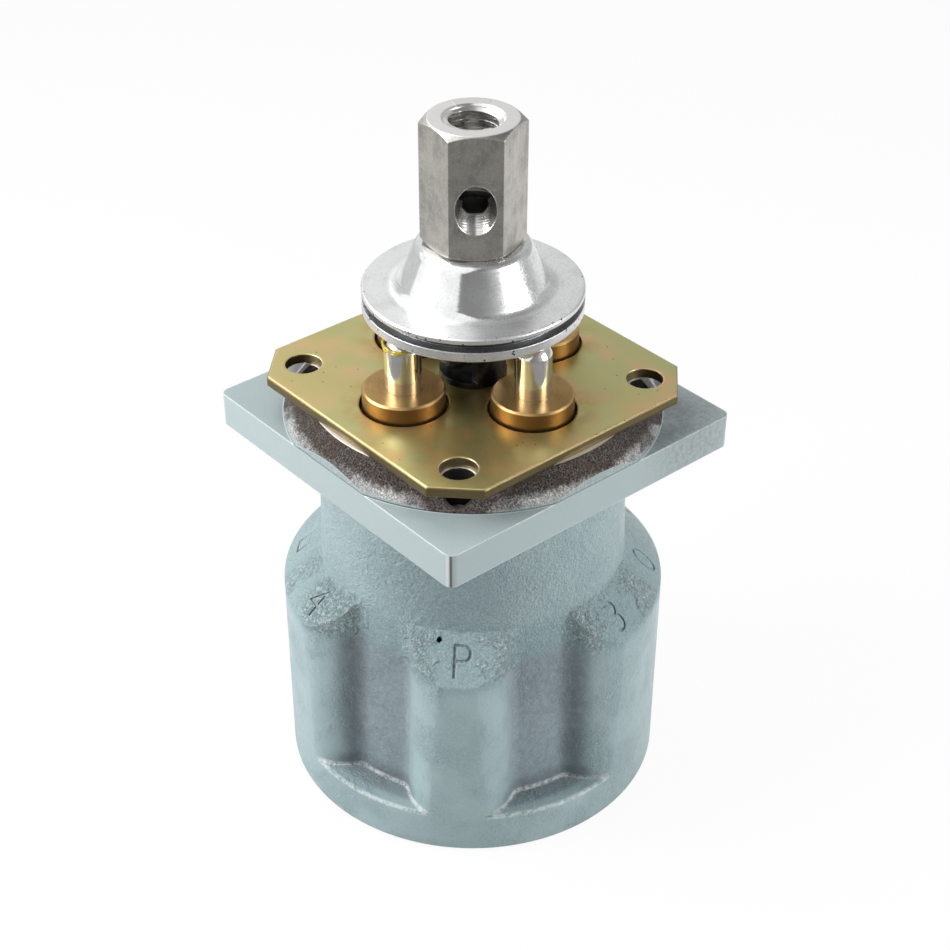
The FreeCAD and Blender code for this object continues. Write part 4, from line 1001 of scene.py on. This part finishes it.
material, tree, shader, place = new_finish("black_oxide")
patina = noise(tree, place, 4.0, 3.0)
scratch = noise(tree, place, 0.5, 2.0)
edges = placed(tree, soft_edges, Radius=0.25 * mm, Sharpness=0.15)
colour = blended(tree, eased(tree, patina, 0.4, 0.75), black_oxide, worn_oxide)
colour = layered(tree, colour, (edges["Edge"], 0.4, rubbed_oxide))
roughness = eased(tree, patina, 0.3, 0.7, 0.28, 0.45)
finish_surface(tree, shader, colour, roughness, 0.7, scratch, edges["Normal"], 0.01)
dress(material, "joint_base", "lever_yoke", "joint_block")

material = clouded_finish(
    "ground_pin",
    (ground_steel, rubbed_steel),
    clouds=(1.5, 3.0),
    cover=(0.35, 0.7),
    grain=(0.2, 2.0),
    edge=0.15,
    roughness=(0.12, 0.24),
    metallic=0.95,
    depth=0.003,
)
dress(material, "lower_pin_1", "lower_pin_2", "upper_pin_1", "upper_pin_2")

# Swash disc
# A turned steel disc with a tall hub, zinc plated. Its rim is satin, with a groove round its edge
# and small knocks, and its cone is nearly a mirror.
zinc = (0.790, 0.795, 0.800, 1)
dull_zinc = (0.560, 0.560, 0.565, 1)
knocked = (0.06, 0.06, 0.06, 1)
# Painted shade in the groove round the rim.
groove_shade = (0.070, 0.072, 0.076, 1)
disc_low, disc_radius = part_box("swash_disc")[0].z / mm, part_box("swash_disc")[1].x / mm
disc_top = disc_low + 6.1
groove_foot, groove_top = disc_low + 2.6, disc_low + 4.8
groove_band = groove_foot - 0.03, groove_foot + 0.06, groove_top - 0.06, groove_top + 0.03

material, tree, shader, place = new_finish("plated_disc")
around = placed(tree, round_axis, Place=place)
radius, height = around["Radius"], around["Height"]
lines = placed(tree, turned_lines, Radius=radius, Height=height, Spacing=0.35)["Lines"]
frost = noise(tree, place, 0.55, 3.0, 0.65)
film = noise(tree, place, 7.0, 3.0, 0.6)
on_cone = eased(tree, height, disc_top + 0.15, disc_top + 1.2)
frosted = eased(tree, far_along(tree, place, camera_right), -3.0, 4.0)
frost_share = eased(tree, frosted, 0, 1, 0.4, 0.8)
knocks = placed(tree, specks, Place=place, Size=0.42, Share=0.22)["Mask"]
on_rim = eased(tree, radius, disc_radius - 1.3, disc_radius - 0.4)
in_groove = eased(tree, radius, disc_radius - 0.05, disc_radius - 0.3)
colour = layered(
    tree,
    zinc,
    (eased(tree, film, 0.4, 0.75), 0.55, dull_zinc),
    (eased(tree, frost, 0.50, 0.68), frost_share, dull_zinc),
    (knocks, on_rim, knocked),
    # Painted shade in the groove.
    (band(tree, height, *groove_band), in_groove, groove_shade),
)
edges = placed(tree, soft_edges, Radius=0.3 * mm)
satin_rough = eased(tree, worked_out(tree, "ADD", frost, lines), 0.7, 1.3, 0.26, 0.42)
mirror_rough = eased(tree, frost, 0.35, 0.75, 0.05, 0.14)
frosted_rough = eased(tree, frost, 0.35, 0.75, 0.16, 0.34)
cone_rough = eased(tree, frosted, 0, 1, mirror_rough, frosted_rough)
roughness = eased(tree, on_cone, 0, 1, satin_rough, cone_rough)
relief = worked_out(tree, "MULTIPLY_ADD", frost, 0.7, times(tree, lines, 0.4))
finish_surface(tree, shader, colour, roughness, 0.95, relief, edges["Normal"], 0.012)
dress(material, "swash_disc")

# Lever nut
# A long nut cut from hexagon bar. It locks the disc on the joint, takes the lever in its top, and
# lets the lever's cable out through the slanting hole in one flat.
bar_steel = (0.470, 0.458, 0.415, 1)
stained_steel = (0.310, 0.296, 0.272, 1)
cut_steel = (0.720, 0.715, 0.695, 1)
nut_low, nut_high = (corner.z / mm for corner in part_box("lever_nut"))
flat_width = 22.0
lever_thread = {"wall": 7.03, "crest": 5.92, "pitch": 2.0, "foot": nut_high - 20.2, "turns": 10}
lever_thread_bevel = 0.55
facing_cut = 4.0
cable_hole = {"radius": 4.85, "height": nut_low + 13.0, "slope": 39.0, "bearing": -37.4}
draw_direction = (1, 1, 0.12)

slope = math.radians(cable_hole["slope"])
bearing = math.radians(cable_hole["bearing"])
flatwise = Vector((math.cos(bearing), math.sin(bearing), 0))
outward = flatwise * math.cos(slope) - Vector((0, 0, math.sin(slope)))
mouth = flatwise * flat_width / 2 + Vector((0, 0, cable_hole["height"]))

material, tree, shader, place = new_finish("machined_steel")
around = placed(tree, round_axis, Place=place)
radius, height = around["Radius"], around["Height"]
feeds = {0: place, 1: draw_direction}
drawn = add_node(tree, "ShaderNodeVectorMath", feeds, operation="MULTIPLY").outputs[0]
streaks = noise(tree, drawn, 1.1, 3.0, 0.6)
mottle = noise(tree, place, 0.5, 3.0, 0.7)
stain = noise(tree, place, 6.0, 3.0, 0.6)
blotch = worked_out(tree, "MULTIPLY_ADD", streaks, 0.25, times(tree, stain, 0.75))
on_top = eased(tree, height, nut_high - 0.12, nut_high - 0.02)
bored = eased(tree, radius, flat_width / 2 - 0.1, flat_width / 2 - 0.25)
feeds = {0: place, 1: mouth}
from_mouth = add_node(tree, "ShaderNodeVectorMath", feeds, operation="SUBTRACT").outputs[0]
feeds = {0: from_mouth, 1: outward}
aside = add_node(tree, "ShaderNodeVectorMath", feeds, operation="CROSS_PRODUCT").outputs[0]
hole_wall = cable_hole["radius"]
in_hole = eased(tree, length_of(tree, aside), hole_wall + 0.12, hole_wall + 0.04)
depth = far_along(tree, from_mouth, outward)
tool_rings = placed(tree, turned_lines, Radius=depth, Spacing=0.5)["Lines"]
edges = placed(tree, soft_edges, Radius=0.4 * mm, Sharpness=0.12)
colour = blended(tree, eased(tree, blotch, 0.38, 0.66), bar_steel, stained_steel)
colour = layered(
    tree,
    colour,
    (eased(tree, mottle, 0.5, 0.7), 0.45, cut_steel),
    (worked_out(tree, "MAXIMUM", on_top, bored), 1.0, cut_steel),
    (in_hole, 0.8, cut_steel),
    (edges["Edge"], 0.7, cut_steel),
)
roughness = eased(tree, worked_out(tree, "ADD", mottle, streaks), 0.7, 1.3, 0.28, 0.42)
roughness = eased(tree, in_hole, 0, 1, roughness, 0.2)
relief = worked_out(tree, "MULTIPLY_ADD", mottle, 0.6, times(tree, streaks, 0.4))
relief = worked_out(tree, "MULTIPLY_ADD", times(tree, tool_rings, in_hole), 6.0, relief)
finish_surface(tree, shader, colour, roughness, 0.95, relief, edges["Normal"], 0.014)
dress(material, "lever_nut")

ridge = thread_ridge("lever_thread_ridge", **lever_thread)


def drilled(piece, radius, depth, middle, direction):
    """Drills a round hole through a piece."""
    bpy.ops.object.select_all(action="DESELECT")
    bpy.ops.mesh.primitive_cylinder_add(
        radius=radius * mm,
        depth=depth * mm,
        vertices=48,
        location=middle * mm,
        rotation=direction.to_track_quat("Z", "Y").to_euler(),
    )
    cut_away(piece, bpy.context.object, "INDEX")


face_middle = Vector((0, 0, nut_high - lever_thread_bevel + facing_cut / 2))
drilled(ridge, cable_hole["radius"], flat_width, mouth, outward)
drilled(ridge, flat_width / 2, facing_cut, face_middle, Vector((0, 0, 1)))
ridge.data.materials.clear()
ridge.data.materials.append(cut_thread)
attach(ridge, "lever")

# Inner pieces
# Under each rod stand a spring seat, a return spring, a metering spring, a washer and a spool.
# None of them shows, but each has its real finish.
hardened = (0.520, 0.515, 0.520, 1)
tempered = (0.300, 0.290, 0.300, 1)
blued_wire, dark_wire = (0.130, 0.130, 0.145, 1), (0.060, 0.062, 0.070, 1)

spool_finish = turned_finish("lapped_steel", hardened, tempered, 0.26, 0.12, spacing=0.2, rings=0.003)
dress(spool_finish, *of_each("spool", "spool_washer", "spring_seat"))

material = clouded_finish(
    "spring_wire",
    (blued_wire, dark_wire),
    clouds=(1.2, 3.0),
    cover=(0.35, 0.7),
    grain=(0.3, 2.0),
    edge=0.2,
    roughness=(0.30, 0.48),
    metallic=0.9,
    depth=0.01,
)
dress(material, *of_each("return_spring", "metering_spring"))
